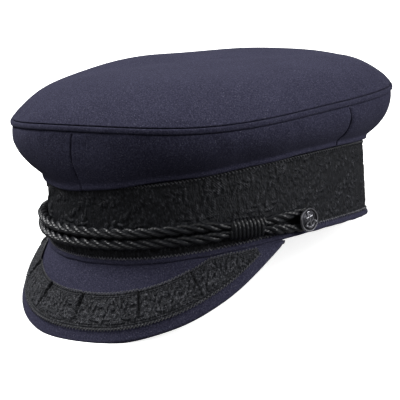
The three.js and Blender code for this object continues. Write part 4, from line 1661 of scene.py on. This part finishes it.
def add_camera(context):
    """Adds the camera, at its place against the cap as the cap rests."""
    view = cap().view
    yaw, rise, roll = view.yaw, view.rise, view.roll
    back = Vector((math.sin(yaw) * math.cos(rise), -math.cos(yaw) * math.cos(rise), math.sin(rise)))
    level = Vector((math.cos(yaw), math.sin(yaw), 0))
    upright = back.cross(level)
    right = math.cos(roll) * level + math.sin(roll) * upright
    up = math.cos(roll) * upright - math.sin(roll) * level
    middle = Vector((0, 0, view.middle))
    stand = standing()
    place = stand @ (middle + view.distance * back)
    aim = stand @ (middle + view.aim_right * right + view.aim_up * up)
    lens = bpy.data.cameras.new("camera")
    lens.lens = view.lens
    lens.sensor_width = 36
    lens.clip_start = 0.05
    camera = bpy.data.objects.new("camera", lens)
    context.scene.collection.objects.link(camera)
    camera.matrix_world = looking((place - aim).normalized(), stand.to_3x3() @ up, place)
    context.scene.camera = camera


class CAP_OT_stage(bpy.types.Operator):
    """Adds the floor, the lights and the camera"""

    bl_idname = "cap.stage"
    bl_label = "Stage"

    def execute(self, context):
        add = bpy.ops.mesh.primitive_grid_add
        floor = add_part(add, x_subdivisions=8, y_subdivisions=8, size=FLOOR_SIDE)
        floor.name = floor.data.name = "floor"
        floor.data.materials.append(material("pale_floor"))
        floor.visible_diffuse = False
        floor.visible_glossy = False
        add_lights(context)
        add_camera(context)
        context.scene.view_settings.view_transform = "Standard"
        return {"FINISHED"}


PIECES = [
    CAP_OT_top_panel,
    CAP_OT_welt,
    CAP_OT_side_panels,
    CAP_OT_head_band,
    CAP_OT_band_braid,
    CAP_OT_peak,
    CAP_OT_peak_braid,
    CAP_OT_chin_cord,
    CAP_OT_sliders,
    CAP_OT_buttons,
    CAP_OT_stage,
]


class CAP_PT_sidebar(bpy.types.Panel):
    """The cap's pieces, in the sidebar"""

    bl_idname = "CAP_PT_sidebar"
    bl_label = "Fisherman's cap"
    bl_space_type = "VIEW_3D"
    bl_region_type = "UI"
    bl_category = "Cap"

    def draw(self, context):
        """Lists the operators."""
        for operator in PIECES:
            self.layout.operator(operator.bl_idname)


GROUPS = [
    BandSizes,
    CrownSizes,
    PeakSizes,
    CordSizes,
    ButtonSizes,
    RestSizes,
    CapColours,
    ViewSettings,
    CapSettings,
]


def register():
    """Makes the settings, the operators and the panel known to Blender."""
    for kind in [*GROUPS, *PIECES, CAP_PT_sidebar]:
        bpy.utils.register_class(kind)
    bpy.types.Scene.fisherman_cap = PointerProperty(type=CapSettings)


def unregister():
    """Takes them out again."""
    del bpy.types.Scene.fisherman_cap
    for kind in reversed([*GROUPS, *PIECES, CAP_PT_sidebar]):
        bpy.utils.unregister_class(kind)


def main():
    """Makes the whole cap."""
    register()
    bpy.ops.cap.stage()
    bpy.ops.cap.top_panel()
    bpy.ops.cap.welt()
    bpy.ops.cap.side_panels()
    bpy.ops.cap.head_band()
    bpy.ops.cap.band_braid()
    bpy.ops.cap.peak()
    bpy.ops.cap.peak_braid()
    bpy.ops.cap.chin_cord()
    bpy.ops.cap.sliders()
    bpy.ops.cap.buttons()


if __name__ == "__main__":
    main()
